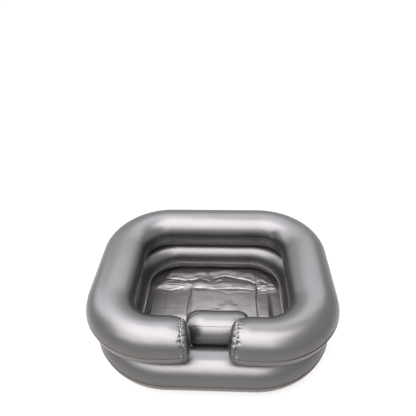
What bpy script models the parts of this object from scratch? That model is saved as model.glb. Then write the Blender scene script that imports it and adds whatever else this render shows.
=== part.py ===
"""Portable shampoo basin: a closed lower ring, an upper ring that is open at the front for the neck, a neck
pillow between them, a floor sheet with a drain, and a push-in inflation valve for each air chamber.

Metres. +X runs along the longer side, +Y points from the neck opening to the back, and +Z is up.
The origin is on the surface that the basin stands on, under the middle of its outline."""

import math

import bmesh
import bpy
from mathutils import Matrix, Vector

# Inflated rings: outline over both tubes, without the weld lips
ring_width = 0.610
ring_depth = 0.512
lower_ring_inset = 0.010
upper_tube_diameter = 0.105
lower_tube_diameter = 0.100
upper_corner_radius = 0.122
lower_corner_radius = 0.140

# Film and welds
film = 0.0005
floor_sheet = 0.0005
weld_lip = 0.003
weld_band = 0.024
clearance = 0.0003

# Neck opening
neck_gap = 0.086
dome_rise = 0.019
end_radius_share = 0.92

# Neck pillow
pillow_length = 0.155
pillow_half_width = 0.0395
pillow_rise = 0.0425
pillow_drop = 0.0435
pillow_shift = 0.017

# Inflation valves
valve_mouth_diameter = 0.0160
valve_flange_diameter = 0.0220
valve_flange_bore = 0.0150
valve_flange_thickness = 0.0008
valve_well_depth = 0.0120
valve_well_wall = 0.0005
stem_diameter = 0.0080
stem_bore = 0.0052
stem_shoulder_diameter = 0.0110
stem_shoulder_thickness = 0.0008
plug_head_diameter = 0.0100
plug_head_thickness = 0.0012
plug_head_recess = 0.0002
plug_shaft_length = 0.0070
plug_tip_chamfer = 0.0006
valve_strap_width = 0.0030
valve_strap_thickness = 0.0005
valve_strap_depth = 0.0090
valve_strap_start = 0.0022
flap_diameter = 0.0070
flap_thickness = 0.0006
flap_tab_width = 0.0030
flap_tab_reach = 0.0052

# Drain in the floor sheet
drain_place_x = 0.042
drain_place_y = 0.0
drain_lift = 0.0105
mound_radius = 0.084
mound_top_radius = 0.026
drain_bore = 0.019
drain_flange_diameter = 0.040
drain_flange_thickness = 0.0012
drain_collar_wall = 0.0015
drain_collar_depth = 0.0030
outlet_wall = 0.0012
outlet_tail_diameter = 0.0075
outlet_tail_bore = 0.0050
outlet_tail_reach = 0.024
drain_head_diameter = 0.026
drain_head_thickness = 0.0020
drain_shaft_length = 0.0050
drain_shaft_chamfer = 0.0008
drain_knob_diameter = 0.0090
drain_knob_thickness = 0.0018
drain_neck_diameter = 0.0060
drain_neck_length = 0.0030
drain_strap_width = 0.0040
drain_strap_thickness = 0.0008
drain_strap_bend_radius = 0.0015
drain_strap_rise = 0.0050

# Fineness of the surfaces
corner_steps = 6
dome_steps = 5
disc_steps = 18
fitting_steps = 12
drain_steps = 24
pillow_side_steps = 4
bend_steps = 6
merge_distance = 0.00001
cut_overrun = 0.004

# Shapes as shares of the sizes above
upper_side_share = 1.12
lower_side_share = 1.08
end_taper_share = 0.455
end_lean_share = 0.26
taper_shares = ((0.0, 1.0), (0.5, 0.975), (1.0, end_radius_share))
pillow_body_share = 0.40
pillow_station_shares = (0.0, 0.22, 0.44, 0.64, 0.80, 0.92, 1.0)
pillow_end_width_share = 0.64
pillow_chamfer_start_share = 0.15
strap_grip_share = 0.25
valve_offset_share = 0.6
mound_profile_shares = ((1.0, 0.0), (0.75, 0.22), (0.45, 0.68), (0.2, 0.93), (0.0, 1.0))

UP = Vector((0, 0, 1))
BACK = Vector((0, 1, 0))

# Sizes that follow from the ones above
upper_bore = upper_tube_diameter / 2 - film
lower_bore = lower_tube_diameter / 2 - film
end_bore = upper_bore * end_radius_share
upper_half_length = (ring_width - upper_tube_diameter * upper_side_share) / 2
upper_half_depth = (ring_depth - upper_tube_diameter) / 2
lower_half_length = (ring_width - lower_tube_diameter * lower_side_share) / 2 - lower_ring_inset
lower_half_depth = (ring_depth - lower_tube_diameter) / 2
valve_offset = (lower_half_length - lower_corner_radius) * valve_offset_share
end_place = neck_gap / 2 + dome_rise
end_taper_length = (upper_half_length - upper_corner_radius - end_place) * end_taper_share
end_turn = math.asin(end_taper_length * end_lean_share / end_bore)


def band_half_angle(bore):
    """Half the angle that a flat weld band takes on a tube."""
    return math.asin(weld_band / 2 / bore)


def flat_distance(bore):
    """From a tube's centre to the outer face of its flat band."""
    return bore * math.cos(band_half_angle(bore)) + film


def pillow_flat_distance(height):
    """From the pillow's seam plane to the outer face of the flat band on one side."""
    return height * math.cos(band_half_angle(pillow_half_width)) + film


lower_height = floor_sheet + clearance + flat_distance(lower_bore)
upper_height = lower_height + flat_distance(lower_bore) + clearance + flat_distance(upper_bore)


def pillow_seat():
    """The pillow nests in the groove between the rings: it lies on the lower tube and clears the arms' ends.

    Gives its centre and the direction from there to the middle of the lower tube."""
    low = Vector((0, -lower_half_depth, lower_height))
    high = Vector((0, -upper_half_depth, upper_height))
    low_reach = flat_distance(lower_bore) + clearance + pillow_flat_distance(pillow_drop)
    high_reach = end_bore + weld_lip + pillow_half_width
    apart = (high - low).length
    along = (high - low) / apart
    inward = along.cross(Vector((1, 0, 0)))
    rise = (low_reach**2 - high_reach**2 + apart**2) / (2 * apart)
    centre = low + along * rise + inward * math.sqrt(low_reach**2 - rise**2)
    return centre + Vector((pillow_shift, 0, 0)), (low - centre).normalized()


pillow_centre, pillow_down = pillow_seat()
band_angle = math.asin(-pillow_down.z)


def clear_scene():
    """Remove what the scene holds."""
    for item in list(bpy.data.objects):
        bpy.data.objects.remove(item)


def new_collection(name):
    """A collection in the scene."""
    group = bpy.data.collections.new(name)
    bpy.context.scene.collection.children.link(group)
    return group


def new_material(name, colour, roughness, metallic=0.0):
    """A plain Principled surface."""
    material = bpy.data.materials.new(name)
    material.use_nodes = True
    shader = material.node_tree.nodes["Principled BSDF"]
    shader.inputs["Base Color"].default_value = (*colour, 1.0)
    shader.inputs["Roughness"].default_value = roughness
    shader.inputs["Metallic"].default_value = metallic
    return material


def silver_film(name):
    """Pearly silver PVC film."""
    return new_material(name, (0.42, 0.41, 0.41), 0.35, 0.55)


def floor_film(name):
    """The thin sheet of the floor, a darker grey."""
    return new_material(name, (0.22, 0.21, 0.20), 0.40, 0.30)


def soft_plastic(name):
    """Moulded soft PVC of the fittings."""
    return new_material(name, (0.30, 0.30, 0.31), 0.45)


def add_object(name, data, make_material, matrix=None, parent=None):
    """Put a mesh or curve in the basin's collection, placed in the world or under a parent."""
    item = bpy.data.objects.new(name, data)
    basin.objects.link(item)
    data.materials.append(make_material(name))
    if parent:
        item.parent = parent
    if matrix:
        item.matrix_local = matrix
    return item


def finish_mesh(mesh, name):
    """Turn the working mesh into mesh data."""
    data = bpy.data.meshes.new(name)
    mesh.to_mesh(data)
    mesh.free()
    return data


def solidify(item, thickness):
    """Thicken an open surface outwards."""
    shell = item.modifiers.new("wall", "SOLIDIFY")
    shell.thickness = thickness
    shell.offset = 1.0
    shell.use_even_offset = True
    shell.use_quality_normals = True


def smooth_shade(item):
    """Round pieces are shaded smooth, apart from their sharp edges."""
    item.data.shade_smooth()
    item.data.set_sharp_from_angle(angle=math.radians(40))


def extrude_row(mesh, row, places, closed=False):
    """Extrude a chain of vertices to new places and give the new chain."""
    following = row[1:] + row[:1] if closed else row[1:]
    edges = [mesh.edges.get(pair) for pair in zip(row, following)]
    made = bmesh.ops.extrude_edge_only(mesh, edges=edges)["geom"]
    fresh = {part for part in made if isinstance(part, bmesh.types.BMVert)}
    chain = []
    for vertex in row:
        chain.append(next(e.other_vert(vertex) for e in vertex.link_edges if e.other_vert(vertex) in fresh))
    for vertex, place in zip(chain, places):
        vertex.co = place
    return chain


def first_row(mesh, places, closed=False):
    """Start a swept surface with a chain of vertices."""
    row = [mesh.verts.new(place) for place in places]
    following = row[1:] + row[:1] if closed else row[1:]
    for pair in zip(row, following):
        mesh.edges.new(pair)
    return row


def turn_outward(mesh, direction):
    """Make the faces of an open surface face the given way where they lie furthest that way."""
    bmesh.ops.remove_doubles(mesh, verts=mesh.verts[:], dist=merge_distance)
    bmesh.ops.recalc_face_normals(mesh, faces=mesh.faces[:])
    pole = max(mesh.faces, key=lambda face: face.calc_center_median().dot(direction))
    if pole.normal.dot(direction) < 0:
        bmesh.ops.reverse_faces(mesh, faces=mesh.faces[:])


def section_angles(bore, flat_pole):
    """Corners of half a tube's section, as angles from the outer equator to the inner one."""
    half = band_half_angle(bore)
    pole = math.pi / 2 - half if flat_pole else math.pi / 2
    quarter = [0, band_angle - half, band_angle + half, (band_angle + half + pole) / 2, pole]
    far_side = [math.pi - angle for angle in reversed(quarter)]
    return quarter + (far_side if flat_pole else far_side[1:])


def ring_section(bore, flat_pole):
    """Inner face of half a tube from lip to lip, as (outward, away from the seam)."""
    arc = [(bore * math.cos(angle), bore * math.sin(angle)) for angle in section_angles(bore, flat_pole)]
    return [(bore + weld_lip, 0)] + arc + [(-bore - weld_lip, 0)]


def half_plan(half_length, half_depth, corner_radius, side_share):
    """Stations on the right half of a ring's centreline from the middle of the back to the front corner's end.

    Each is (place, outward direction, radius share). The direction is longer towards the side, where the
    tube is side_share times as wide as it is high."""
    stations = [(Vector((0, half_depth, 0)), BACK.copy(), 1.0)]
    for side in (1, -1):
        centre = Vector((half_length - corner_radius, side * (half_depth - corner_radius), 0))
        start = math.pi / 2 if side > 0 else 0
        for step in range(corner_steps + 1):
            angle = start - math.pi / 2 * step / corner_steps
            outward = Vector((math.cos(angle), math.sin(angle), 0))
            widened = Vector((outward.x * side_share, outward.y, 0))
            stations.append((centre + outward * corner_radius, widened, 1.0))
    return stations


def lower_stations():
    """The closed ring's right half."""
    stations = half_plan(lower_half_length, lower_half_depth, lower_corner_radius, lower_side_share)
    return stations + [(Vector((0, -lower_half_depth, 0)), -BACK, 1.0)]


def upper_stations():
    """The open ring's right half, tapered and turned towards its end beside the neck."""
    stations = half_plan(upper_half_length, upper_half_depth, upper_corner_radius, upper_side_share)
    for share, radius_share in taper_shares:
        place = Vector((end_place + end_taper_length * (1 - share), -upper_half_depth, 0))
        turn = end_turn * share
        stations.append((place, Vector((-math.sin(turn), -math.cos(turn), 0)), radius_share))
    return stations


def ring_film(name, bore, stations, height, side, open_end=False):
    """Half a tube: its inner face swept round the right half, mirrored, and thickened outwards.

    side is 1 for the film above the seam and -1 for the film below it."""
    section = ring_section(bore, flat_pole=not (open_end and side > 0))
    mesh = bmesh.new()
    row = None
    for centre, outward, share in stations:
        places = []
        for across, rise in section:
            above = side * (rise * share + clearance / 2)
            places.append(centre + outward * across * share + UP * (height + above))
        row = extrude_row(mesh, row, places) if row else first_row(mesh, places)
    if open_end:
        flare = share * (bore + weld_lip) / bore
        places = []
        for across, rise in section[1:-1]:
            above = side * (rise * flare + clearance / 2)
            places.append(centre + outward * across * flare + UP * (height + above))
        extrude_row(mesh, row[1:-1], places)
    turn_outward(mesh, UP * side)
    item = add_object(name, finish_mesh(mesh, name), silver_film)
    mirror = item.modifiers.new("left half", "MIRROR")
    mirror.use_axis = (True, False, False)
    mirror.merge_threshold = merge_distance
    solidify(item, film)
    smooth_shade(item)
    return item


def turned(name, outline, make_material, steps, matrix=None, parent=None, closed=False):
    """A turned shape: its outline as (radius, height), running down its outer side."""
    mesh = bmesh.new()
    row = [mesh.verts.new((radius, 0, height)) for radius, height in outline]
    following = row[1:] + row[:1] if closed else row[1:]
    for pair in zip(row, following):
        mesh.edges.new(pair)
    item = add_object(name, finish_mesh(mesh, name), make_material, matrix, parent)
    screw = item.modifiers.new("turned", "SCREW")
    screw.steps = steps
    screw.render_steps = steps
    screw.use_merge_vertices = True
    screw.merge_threshold = merge_distance
    screw.use_smooth_shade = False
    return item


def plate(name, outline, thickness, make_material, matrix, parent=None):
    """A flat outline of the given thickness, centred on its local XY plane."""
    curve = bpy.data.curves.new(name, "CURVE")
    curve.dimensions = "2D"
    curve.fill_mode = "BOTH"
    curve.extrude = thickness / 2
    line = curve.splines.new("POLY")
    line.points.add(len(outline) - 1)
    for point, (x, y) in zip(line.points, outline):
        point.co = (x, y, 0, 1)
    line.use_cyclic_u = True
    return add_object(name, curve, make_material, matrix, parent)


def add_rings():
    """The two rings' four films."""
    ring_film("lower_ring_bottom_film", lower_bore, lower_stations(), lower_height, -1)
    lower_top = ring_film("lower_ring_top_film", lower_bore, lower_stations(), lower_height, 1)
    ring_film("upper_ring_bottom_film", upper_bore, upper_stations(), upper_height, -1, open_end=True)
    upper_top = ring_film("upper_ring_top_film", upper_bore, upper_stations(), upper_height, 1, open_end=True)
    return lower_top, upper_top


def add_end_disc(name, side):
    """The domed disc that closes one end of the upper ring, welded lip to lip."""
    outward = Vector((side * -math.cos(end_turn), math.sin(end_turn), 0))
    place = Vector((side * end_place, -upper_half_depth, upper_height)) + outward * clearance
    outline = []
    for step in range(dome_steps + 1):
        angle = math.pi / 2 * step / dome_steps
        outline.append((end_bore * math.sin(angle), dome_rise * math.cos(angle)))
    outline.append((end_bore + weld_lip * end_radius_share, 0))
    matrix = Matrix.Translation(place) @ outward.to_track_quat("Z", "Y").to_matrix().to_4x4()
    item = turned(name, outline, silver_film, disc_steps, matrix)
    solidify(item, film)


def plan_loop(offset, height):
    """A closed loop at an offset from the lower ring's centreline."""
    places = []
    for quarter in range(4):
        across = 1 if quarter in (0, 1) else -1
        along = 1 if quarter in (0, 3) else -1
        centre = Vector((
            across * (lower_half_length - lower_corner_radius),
            along * (lower_half_depth - lower_corner_radius),
            height,
        ))
        for step in range(corner_steps + 1):
            angle = math.pi / 2 * (1 - quarter - step / corner_steps)
            reach = lower_corner_radius + offset
            places.append(centre + Vector((math.cos(angle), math.sin(angle), 0)) * reach)
    return places


def drain_loop(radius, height):
    """A closed loop round the drain, with as many points as the plan's loop."""
    count = 4 * (corner_steps + 1)
    places = []
    for step in range(count):
        angle = math.pi / 2 - 2 * math.pi * (step + 0.5) / count
        round_drain = Vector((math.cos(angle), math.sin(angle), 0)) * radius
        places.append(Vector((drain_place_x, drain_place_y, height)) + round_drain)
    return places


def add_floor():
    """The floor sheet: flat under the lower ring, lifted by the drain outlet in a low mound."""
    mesh = bmesh.new()
    hole_radius = drain_bore / 2 + drain_collar_wall + clearance
    row = first_row(mesh, plan_loop(weld_band / 2, 0), closed=True)
    for reach_share, lift_share in mound_profile_shares:
        radius = mound_top_radius + (mound_radius - mound_top_radius) * reach_share
        row = extrude_row(mesh, row, drain_loop(radius, drain_lift * lift_share), closed=True)
    extrude_row(mesh, row, drain_loop(hole_radius, drain_lift), closed=True)
    turn_outward(mesh, UP)
    item = add_object("basin_floor", finish_mesh(mesh, "basin_floor"), floor_film)
    solidify(item, floor_sheet)
    smooth_shade(item)


def pillow_stations():
    """Stations along the pillow as (place, width share, height share), end lips included."""
    right = []
    for share in pillow_station_shares:
        beyond = max(0, share - pillow_chamfer_start_share) / (1 - pillow_chamfer_start_share)
        width_share = 1 - (1 - pillow_end_width_share) * beyond
        place = pillow_length / 2 * (pillow_body_share + (1 - pillow_body_share) * share)
        right.append((place, width_share, math.sqrt(1 - share**2)))
    right.append((pillow_length / 2 + weld_lip, pillow_end_width_share, 0))
    left = [(-place, width, height) for place, width, height in reversed(right)]
    return left + right


def add_pillow_film(name, height, side, frame):
    """One film of the pillow: a crown that is pinched at the ends, with a weld lip all round."""
    half = band_half_angle(pillow_half_width)
    steps = pillow_side_steps
    quarter = [(math.pi / 2 - half) * step / steps for step in range(steps + 1)]
    angles = quarter + [math.pi - angle for angle in reversed(quarter)]
    mesh = bmesh.new()
    row = None
    for place, width_share, height_share in pillow_stations():
        reach = pillow_half_width * width_share
        section = [(reach + weld_lip, 0)]
        section += [(reach * math.cos(angle), height * height_share * math.sin(angle)) for angle in angles]
        section += [(-reach - weld_lip, 0)]
        places = [Vector((place, across, side * (rise + clearance / 2))) for across, rise in section]
        row = extrude_row(mesh, row, places) if row else first_row(mesh, places)
    turn_outward(mesh, UP * side)
    item = add_object(name, finish_mesh(mesh, name), silver_film, frame)
    solidify(item, film)
    smooth_shade(item)
    return item


def add_pillow():
    """The neck pillow: two films welded along a seam, resting on the lower ring."""
    normal = -pillow_down
    tilt = math.atan2(-normal.y, normal.z)
    frame = Matrix.Translation(pillow_centre) @ Matrix.Rotation(tilt, 4, "X")
    add_pillow_film("neck_pillow_front_film", pillow_drop, -1, frame)
    back_film = add_pillow_film("neck_pillow_back_film", pillow_rise, 1, frame)
    mouth = pillow_centre + normal * pillow_flat_distance(pillow_rise)
    return back_film, mouth, normal


def valve_frame(mouth, normal):
    """Places a valve: local X along the ring, local Z out of the film."""
    across = normal.cross(Vector((1, 0, 0)))
    turn = Matrix((Vector((1, 0, 0)), across, normal)).transposed()
    return Matrix.Translation(mouth) @ turn.to_4x4()


def cut_mouth(film_item, name, seat):
    """Cut the round mouth of a valve through its film."""
    mesh = bmesh.new()
    radius = valve_mouth_diameter / 2
    depth = film + 2 * cut_overrun
    bmesh.ops.create_cone(
        mesh, cap_ends=True, segments=fitting_steps, radius1=radius, radius2=radius, depth=depth
    )
    cutter = bpy.data.objects.new(name + "_mouth_cutter", finish_mesh(mesh, name + "_mouth_cutter"))
    cutters.objects.link(cutter)
    cutter.parent = seat
    cutter.hide_render = True
    cutter.display_type = "WIRE"
    hole = film_item.modifiers.new("valve mouth", "BOOLEAN")
    hole.object = cutter
    hole.solver = "EXACT"


def stem_levels():
    """Heights of the stem's parts below the film's outer face: shoulder bottom, shoulder top, stem top."""
    shoulder_top = -valve_well_depth - valve_well_wall - clearance
    stem_top = -plug_head_recess - plug_head_thickness - clearance
    return shoulder_top - stem_shoulder_thickness, shoulder_top, stem_top


def add_valve_well(name, seat):
    """The soft well between flange and stem, which turns inside out when the stem is pulled up."""
    outer = valve_flange_bore / 2 - clearance
    inner = outer - valve_well_wall
    hole = stem_diameter / 2 + clearance
    top = -film - clearance
    bottom = -valve_well_depth
    outline = [
        (inner, top), (outer, top), (outer, bottom - valve_well_wall),
        (hole, bottom - valve_well_wall), (hole, bottom), (inner, bottom),
    ]
    turned(name + "_well", outline, soft_plastic, fitting_steps, parent=seat, closed=True)


def add_valve_stem(name, seat):
    """The tube that is blown into, with a shoulder under the well's floor."""
    low, shoulder_top, top = stem_levels()
    bore = stem_bore / 2
    outer = stem_diameter / 2
    shoulder = stem_shoulder_diameter / 2
    outline = [(bore, top), (outer, top), (outer, shoulder_top)]
    outline += [(shoulder, shoulder_top), (shoulder, low), (bore, low)]
    return turned(name + "_stem", outline, soft_plastic, fitting_steps, parent=seat, closed=True)


def add_valve_plug(name, stem):
    """The plug that seals the stem, flush with the film."""
    head = plug_head_diameter / 2
    shaft = stem_bore / 2 - clearance
    top = -plug_head_recess
    under = top - plug_head_thickness
    tip = under - plug_shaft_length
    outline = [
        (0, top), (head, top), (head, under), (shaft, under),
        (shaft, tip + plug_tip_chamfer), (shaft - plug_tip_chamfer, tip), (0, tip),
    ]
    turned(name + "_plug", outline, soft_plastic, fitting_steps, parent=stem)


def add_valve_strap(name, stem):
    """The strap that keeps the plug: folded down beside the stem and back up to the stem's wall."""
    near = stem_diameter / 2 + clearance
    far = plug_head_diameter / 2 + clearance
    thick = valve_strap_thickness
    low = -valve_strap_depth
    start = -valve_strap_start
    head_level = -plug_head_recess - plug_head_thickness * strap_grip_share
    outline = [
        (near, start), (near, low), (far + thick, low), (far + thick, head_level),
        (far, head_level), (far, low + thick), (near + thick, low + thick), (near + thick, start),
    ]
    upright = Matrix.Rotation(math.pi / 2, 4, "X")
    plate(name + "_strap", outline, valve_strap_width, soft_plastic, upright, stem)


def add_valve_flap(name, stem):
    """The check flap under the stem, hinged at the end of its tab."""
    radius = flap_diameter / 2
    half_tab = flap_tab_width / 2
    start = math.asin(half_tab / radius)
    outline = [(0, -half_tab), (0, half_tab)]
    for step in range(fitting_steps + 1):
        angle = start + (2 * math.pi - 2 * start) * step / fitting_steps
        outline.append((radius * math.cos(angle) - flap_tab_reach, radius * math.sin(angle)))
    hinge = Vector((flap_tab_reach, 0, stem_levels()[0] - clearance))
    pivot = bpy.data.objects.new(name + "_flap_pivot", None)
    basin.objects.link(pivot)
    pivot.parent = stem
    pivot.location = hinge
    middle = Matrix.Translation((0, 0, -flap_thickness / 2))
    plate(name + "_check_flap", outline, flap_thickness, soft_plastic, middle, pivot)


def add_valve(name, film_item, mouth, normal):
    """A push-in inflation valve, at rest pushed in flush with the film."""
    seat = bpy.data.objects.new(name + "_seat", None)
    basin.objects.link(seat)
    seat.matrix_world = valve_frame(mouth, normal)
    cut_mouth(film_item, name, seat)
    flange = valve_flange_diameter / 2
    bore = valve_flange_bore / 2
    top = -film - clearance
    bottom = top - valve_flange_thickness
    outline = [(bore, top), (flange, top), (flange, bottom), (bore, bottom)]
    turned(name + "_flange", outline, soft_plastic, fitting_steps, parent=seat, closed=True)
    add_valve_well(name, seat)
    stem = add_valve_stem(name, seat)
    add_valve_plug(name, stem)
    add_valve_strap(name, stem)
    add_valve_flap(name, stem)


def ring_valve_place(bore, half_depth, height, across):
    """Mouth and direction of a ring's valve, on the outer band at the back."""
    normal = Vector((0, math.cos(band_angle), math.sin(band_angle)))
    mouth = Vector((across, half_depth, height + clearance / 2)) + normal * flat_distance(bore)
    return mouth, normal


def add_drain_flange(seat):
    """The ring welded on the floor sheet, with a collar down through its hole."""
    bore = drain_bore / 2
    collar = bore + drain_collar_wall
    under = drain_lift + floor_sheet + clearance
    top = under + drain_flange_thickness
    low = drain_lift - drain_collar_depth
    outline = [(bore, top), (drain_flange_diameter / 2, top), (drain_flange_diameter / 2, under)]
    outline += [(collar, under), (collar, low), (bore, low)]
    turned("drain_flange", outline, soft_plastic, drain_steps, parent=seat, closed=True)
    return top


def bored_tail(name, diameter, start, reach, height):
    """A level cylinder that runs to the back, from one distance behind the drain's axis to another."""
    mesh = bmesh.new()
    radius = diameter / 2
    bmesh.ops.create_cone(
        mesh, cap_ends=True, segments=fitting_steps, radius1=radius, radius2=radius, depth=reach - start
    )
    item = bpy.data.objects.new(name, finish_mesh(mesh, name))
    cutters.objects.link(item)
    item.location = (drain_place_x, drain_place_y + (start + reach) / 2, height)
    item.rotation_euler = (math.pi / 2, 0, 0)
    item.hide_render = True
    item.display_type = "WIRE"
    return item


def add_drain_outlet(seat):
    """The cup under the floor, with the tail that a hose is pushed on."""
    inner = drain_bore / 2 + drain_collar_wall + clearance
    outer = inner + outlet_wall
    base = clearance
    top = drain_lift - clearance
    outline = [(0, base + outlet_wall), (inner, base + outlet_wall), (inner, top)]
    outline += [(outer, top), (outer, base), (0, base)]
    cup = turned("drain_outlet", outline, soft_plastic, drain_steps, parent=seat)
    level = max(base + outlet_wall + outlet_tail_bore / 2, base + outlet_tail_diameter / 2)
    tail = bored_tail("tail_body", outlet_tail_diameter, inner + outlet_wall / 2, outlet_tail_reach, level)
    bore = bored_tail("tail_bore", outlet_tail_bore, 0, outlet_tail_reach + cut_overrun, level)
    for label, tool, operation in (("tail", tail, "UNION"), ("tail bore", bore, "DIFFERENCE")):
        step = cup.modifiers.new(label, "BOOLEAN")
        step.object = tool
        step.operation = operation
        step.solver = "EXACT"


def add_drain_plug(seat, flange_top):
    """The stopper: a knob and a wide head over a short shaft."""
    head = drain_head_diameter / 2
    shaft = drain_bore / 2 - clearance
    knob = drain_knob_diameter / 2
    neck = drain_neck_diameter / 2
    under = flange_top + clearance
    head_top = under + drain_head_thickness
    knob_low = head_top + drain_neck_length
    tip = under - drain_shaft_length
    outline = [
        (0, knob_low + drain_knob_thickness), (knob, knob_low + drain_knob_thickness), (knob, knob_low),
        (neck, knob_low), (neck, head_top), (head, head_top), (head, under), (shaft, under),
        (shaft, tip + drain_shaft_chamfer), (shaft - drain_shaft_chamfer, tip), (0, tip),
    ]
    turned("drain_plug", outline, soft_plastic, drain_steps, parent=seat)


def add_drain_strap(seat, flange_top):
    """The strap from the plug's head to the flange: an upright loop in front of the plug."""
    low = flange_top + clearance
    inner = drain_strap_bend_radius
    outer = inner + drain_strap_thickness
    middle = drain_head_diameter / 2 + clearance + outer
    bend = low + drain_strap_rise - outer
    outline = [(middle - outer, low)]
    for step in range(bend_steps + 1):
        angle = math.pi * (1 - step / bend_steps)
        outline.append((middle + outer * math.cos(angle), bend + outer * math.sin(angle)))
    outline += [(middle + outer, low), (middle + inner, low)]
    for step in range(bend_steps + 1):
        angle = math.pi * step / bend_steps
        outline.append((middle + inner * math.cos(angle), bend + inner * math.sin(angle)))
    outline.append((middle - inner, low))
    upright = Matrix.Rotation(-math.pi / 2, 4, "Z") @ Matrix.Rotation(math.pi / 2, 4, "X")
    plate("drain_plug_strap", outline, drain_strap_width, soft_plastic, upright, seat)


def add_drain():
    """Everything at the drain, on one upright axis."""
    seat = bpy.data.objects.new("drain_seat", None)
    basin.objects.link(seat)
    seat.location = (drain_place_x, drain_place_y, 0)
    flange_top = add_drain_flange(seat)
    add_drain_outlet(seat)
    add_drain_plug(seat, flange_top)
    add_drain_strap(seat, flange_top)


clear_scene()
basin = new_collection("portable_shampoo_basin")
cutters = new_collection("cutters")
lower_top_film, upper_top_film = add_rings()
add_end_disc("upper_ring_right_end", 1)
add_end_disc("upper_ring_left_end", -1)
add_floor()
pillow_film, pillow_mouth, pillow_normal = add_pillow()
upper_mouth = ring_valve_place(upper_bore, upper_half_depth, upper_height, valve_offset)
lower_mouth = ring_valve_place(lower_bore, lower_half_depth, lower_height, -valve_offset)
add_valve("upper_valve", upper_top_film, *upper_mouth)
add_valve("lower_valve", lower_top_film, *lower_mouth)
add_valve("pillow_valve", pillow_film, pillow_mouth, pillow_normal)
add_drain()
bpy.context.view_layer.update()
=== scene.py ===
# %% [markdown]
# # A portable shampoo basin
#
# This basin is welded from thin silver-grey PVC film. Two air tubes lie on each other, a small air pillow
# closes the neck opening, and one loose sheet makes the floor with its drain.
# The CAD frame gives every piece its place. This lesson dresses that frame: each film, fitting and finish is
# made here at full detail, and each piece is handed to the body that it moves with, apart from the soft wells
# and straps, which stay on no body.

# %% Load the frame
from collections import namedtuple
from math import asin, copysign, cos, exp, pi, radians, sin, sqrt

import bmesh
import bpy
import numpy as np
from mathutils import Matrix, Vector, noise


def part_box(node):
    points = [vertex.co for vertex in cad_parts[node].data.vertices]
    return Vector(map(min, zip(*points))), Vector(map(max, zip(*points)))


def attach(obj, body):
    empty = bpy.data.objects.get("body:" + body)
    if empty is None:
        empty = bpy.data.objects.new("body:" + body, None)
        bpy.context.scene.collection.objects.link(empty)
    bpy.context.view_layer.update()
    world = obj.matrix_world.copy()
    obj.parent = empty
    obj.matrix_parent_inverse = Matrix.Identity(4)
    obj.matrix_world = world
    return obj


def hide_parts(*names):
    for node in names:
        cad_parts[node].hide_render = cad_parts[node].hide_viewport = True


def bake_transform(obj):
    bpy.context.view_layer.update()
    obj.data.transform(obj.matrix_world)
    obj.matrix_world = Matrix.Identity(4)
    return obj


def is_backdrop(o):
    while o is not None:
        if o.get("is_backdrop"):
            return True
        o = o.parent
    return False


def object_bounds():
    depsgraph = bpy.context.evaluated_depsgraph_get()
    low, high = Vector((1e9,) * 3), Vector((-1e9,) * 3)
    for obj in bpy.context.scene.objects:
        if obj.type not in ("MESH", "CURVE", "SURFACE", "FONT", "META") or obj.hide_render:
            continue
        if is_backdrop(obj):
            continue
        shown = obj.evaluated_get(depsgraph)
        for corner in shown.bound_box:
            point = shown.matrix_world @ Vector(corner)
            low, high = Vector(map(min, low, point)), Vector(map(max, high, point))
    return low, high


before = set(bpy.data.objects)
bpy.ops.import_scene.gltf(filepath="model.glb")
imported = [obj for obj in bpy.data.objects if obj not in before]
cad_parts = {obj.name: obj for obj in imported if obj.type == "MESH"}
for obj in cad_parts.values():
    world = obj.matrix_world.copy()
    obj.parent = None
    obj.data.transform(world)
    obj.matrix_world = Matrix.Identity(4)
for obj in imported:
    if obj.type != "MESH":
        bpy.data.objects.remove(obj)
cad_low, cad_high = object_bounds()
print("nodes", len(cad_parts), "box in mm", np.round(1000 * (np.array(cad_high) - cad_low), 1))

# %% [markdown]
# ## Sizes
#
# The films, welds and fittings repeat the CAD's own sizes, so that what is dressed lies where the frame is.
# The heights of the seams are read from the frame itself, because they depend on how the tubes are stacked.
# A ring is one record: its tube's bore, half the length and depth of its centreline, that line's corner
# radius, how much wider than high the side tubes are, and its seam's height.

# %% Sizes of the rings and films
film, weld_lip, weld_band, clearance = 0.0005, 0.003, 0.024, 0.0003
Ring = namedtuple("Ring", "bore half corner side_share height")


def seam_height(ring):
    """The middle of the gap between a ring's two films, from the frame."""
    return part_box(ring + "_ring_top_film")[0][2] - clearance / 2


upper = Ring(0.052, (0.2462, 0.2035), 0.122, 1.12, seam_height("upper"))
lower = Ring(0.0495, (0.241, 0.206), 0.140, 1.08, seam_height("lower"))
end_place, end_share, rim_lip_share, dome_rise = 0.062, 0.92, 0.5, 0.019
end_bore = upper.bore * end_share
end_taper = (upper.half[0] - upper.corner - end_place) * 0.455
end_lean = asin(end_taper * 0.26 / end_bore)
valve_offset = (lower.half[0] - lower.corner) * 0.6
print("seams at mm", round(1000 * upper.height, 2), round(1000 * lower.height, 2))


def flat_level(ring):
    """From a tube's centre to the inner face of a film that is pressed flat over the weld band."""
    return sqrt(ring.bore**2 - (weld_band / 2) ** 2)


# %% [markdown]
# ## Camera
#
# A camera was fitted to the outline and seams in the photograph: it stands about 80 cm in front of the basin
# and 94 cm up, a little to the right, and looks down at 46 degrees. The basin lies low in the picture, so the
# camera is tilted up from the basin instead of shifted.

# %% Set the camera
picture_side, focal_pixels = 416, 424.52
azimuth, elevation, pan, tilt, roll = (radians(a) for a in (2.871, 46.230, -0.447, -10.753, 1.155))
camera_target, camera_distance = Vector((0, 0, 0.10)), 1.15683


def add(name, data, material=None):
    """Put a new object for a mesh, a lamp or a camera into the scene."""
    if material:
        data.materials.append(material)
    item = bpy.data.objects.new(name, data)
    bpy.context.scene.collection.objects.link(item)
    return item


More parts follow.
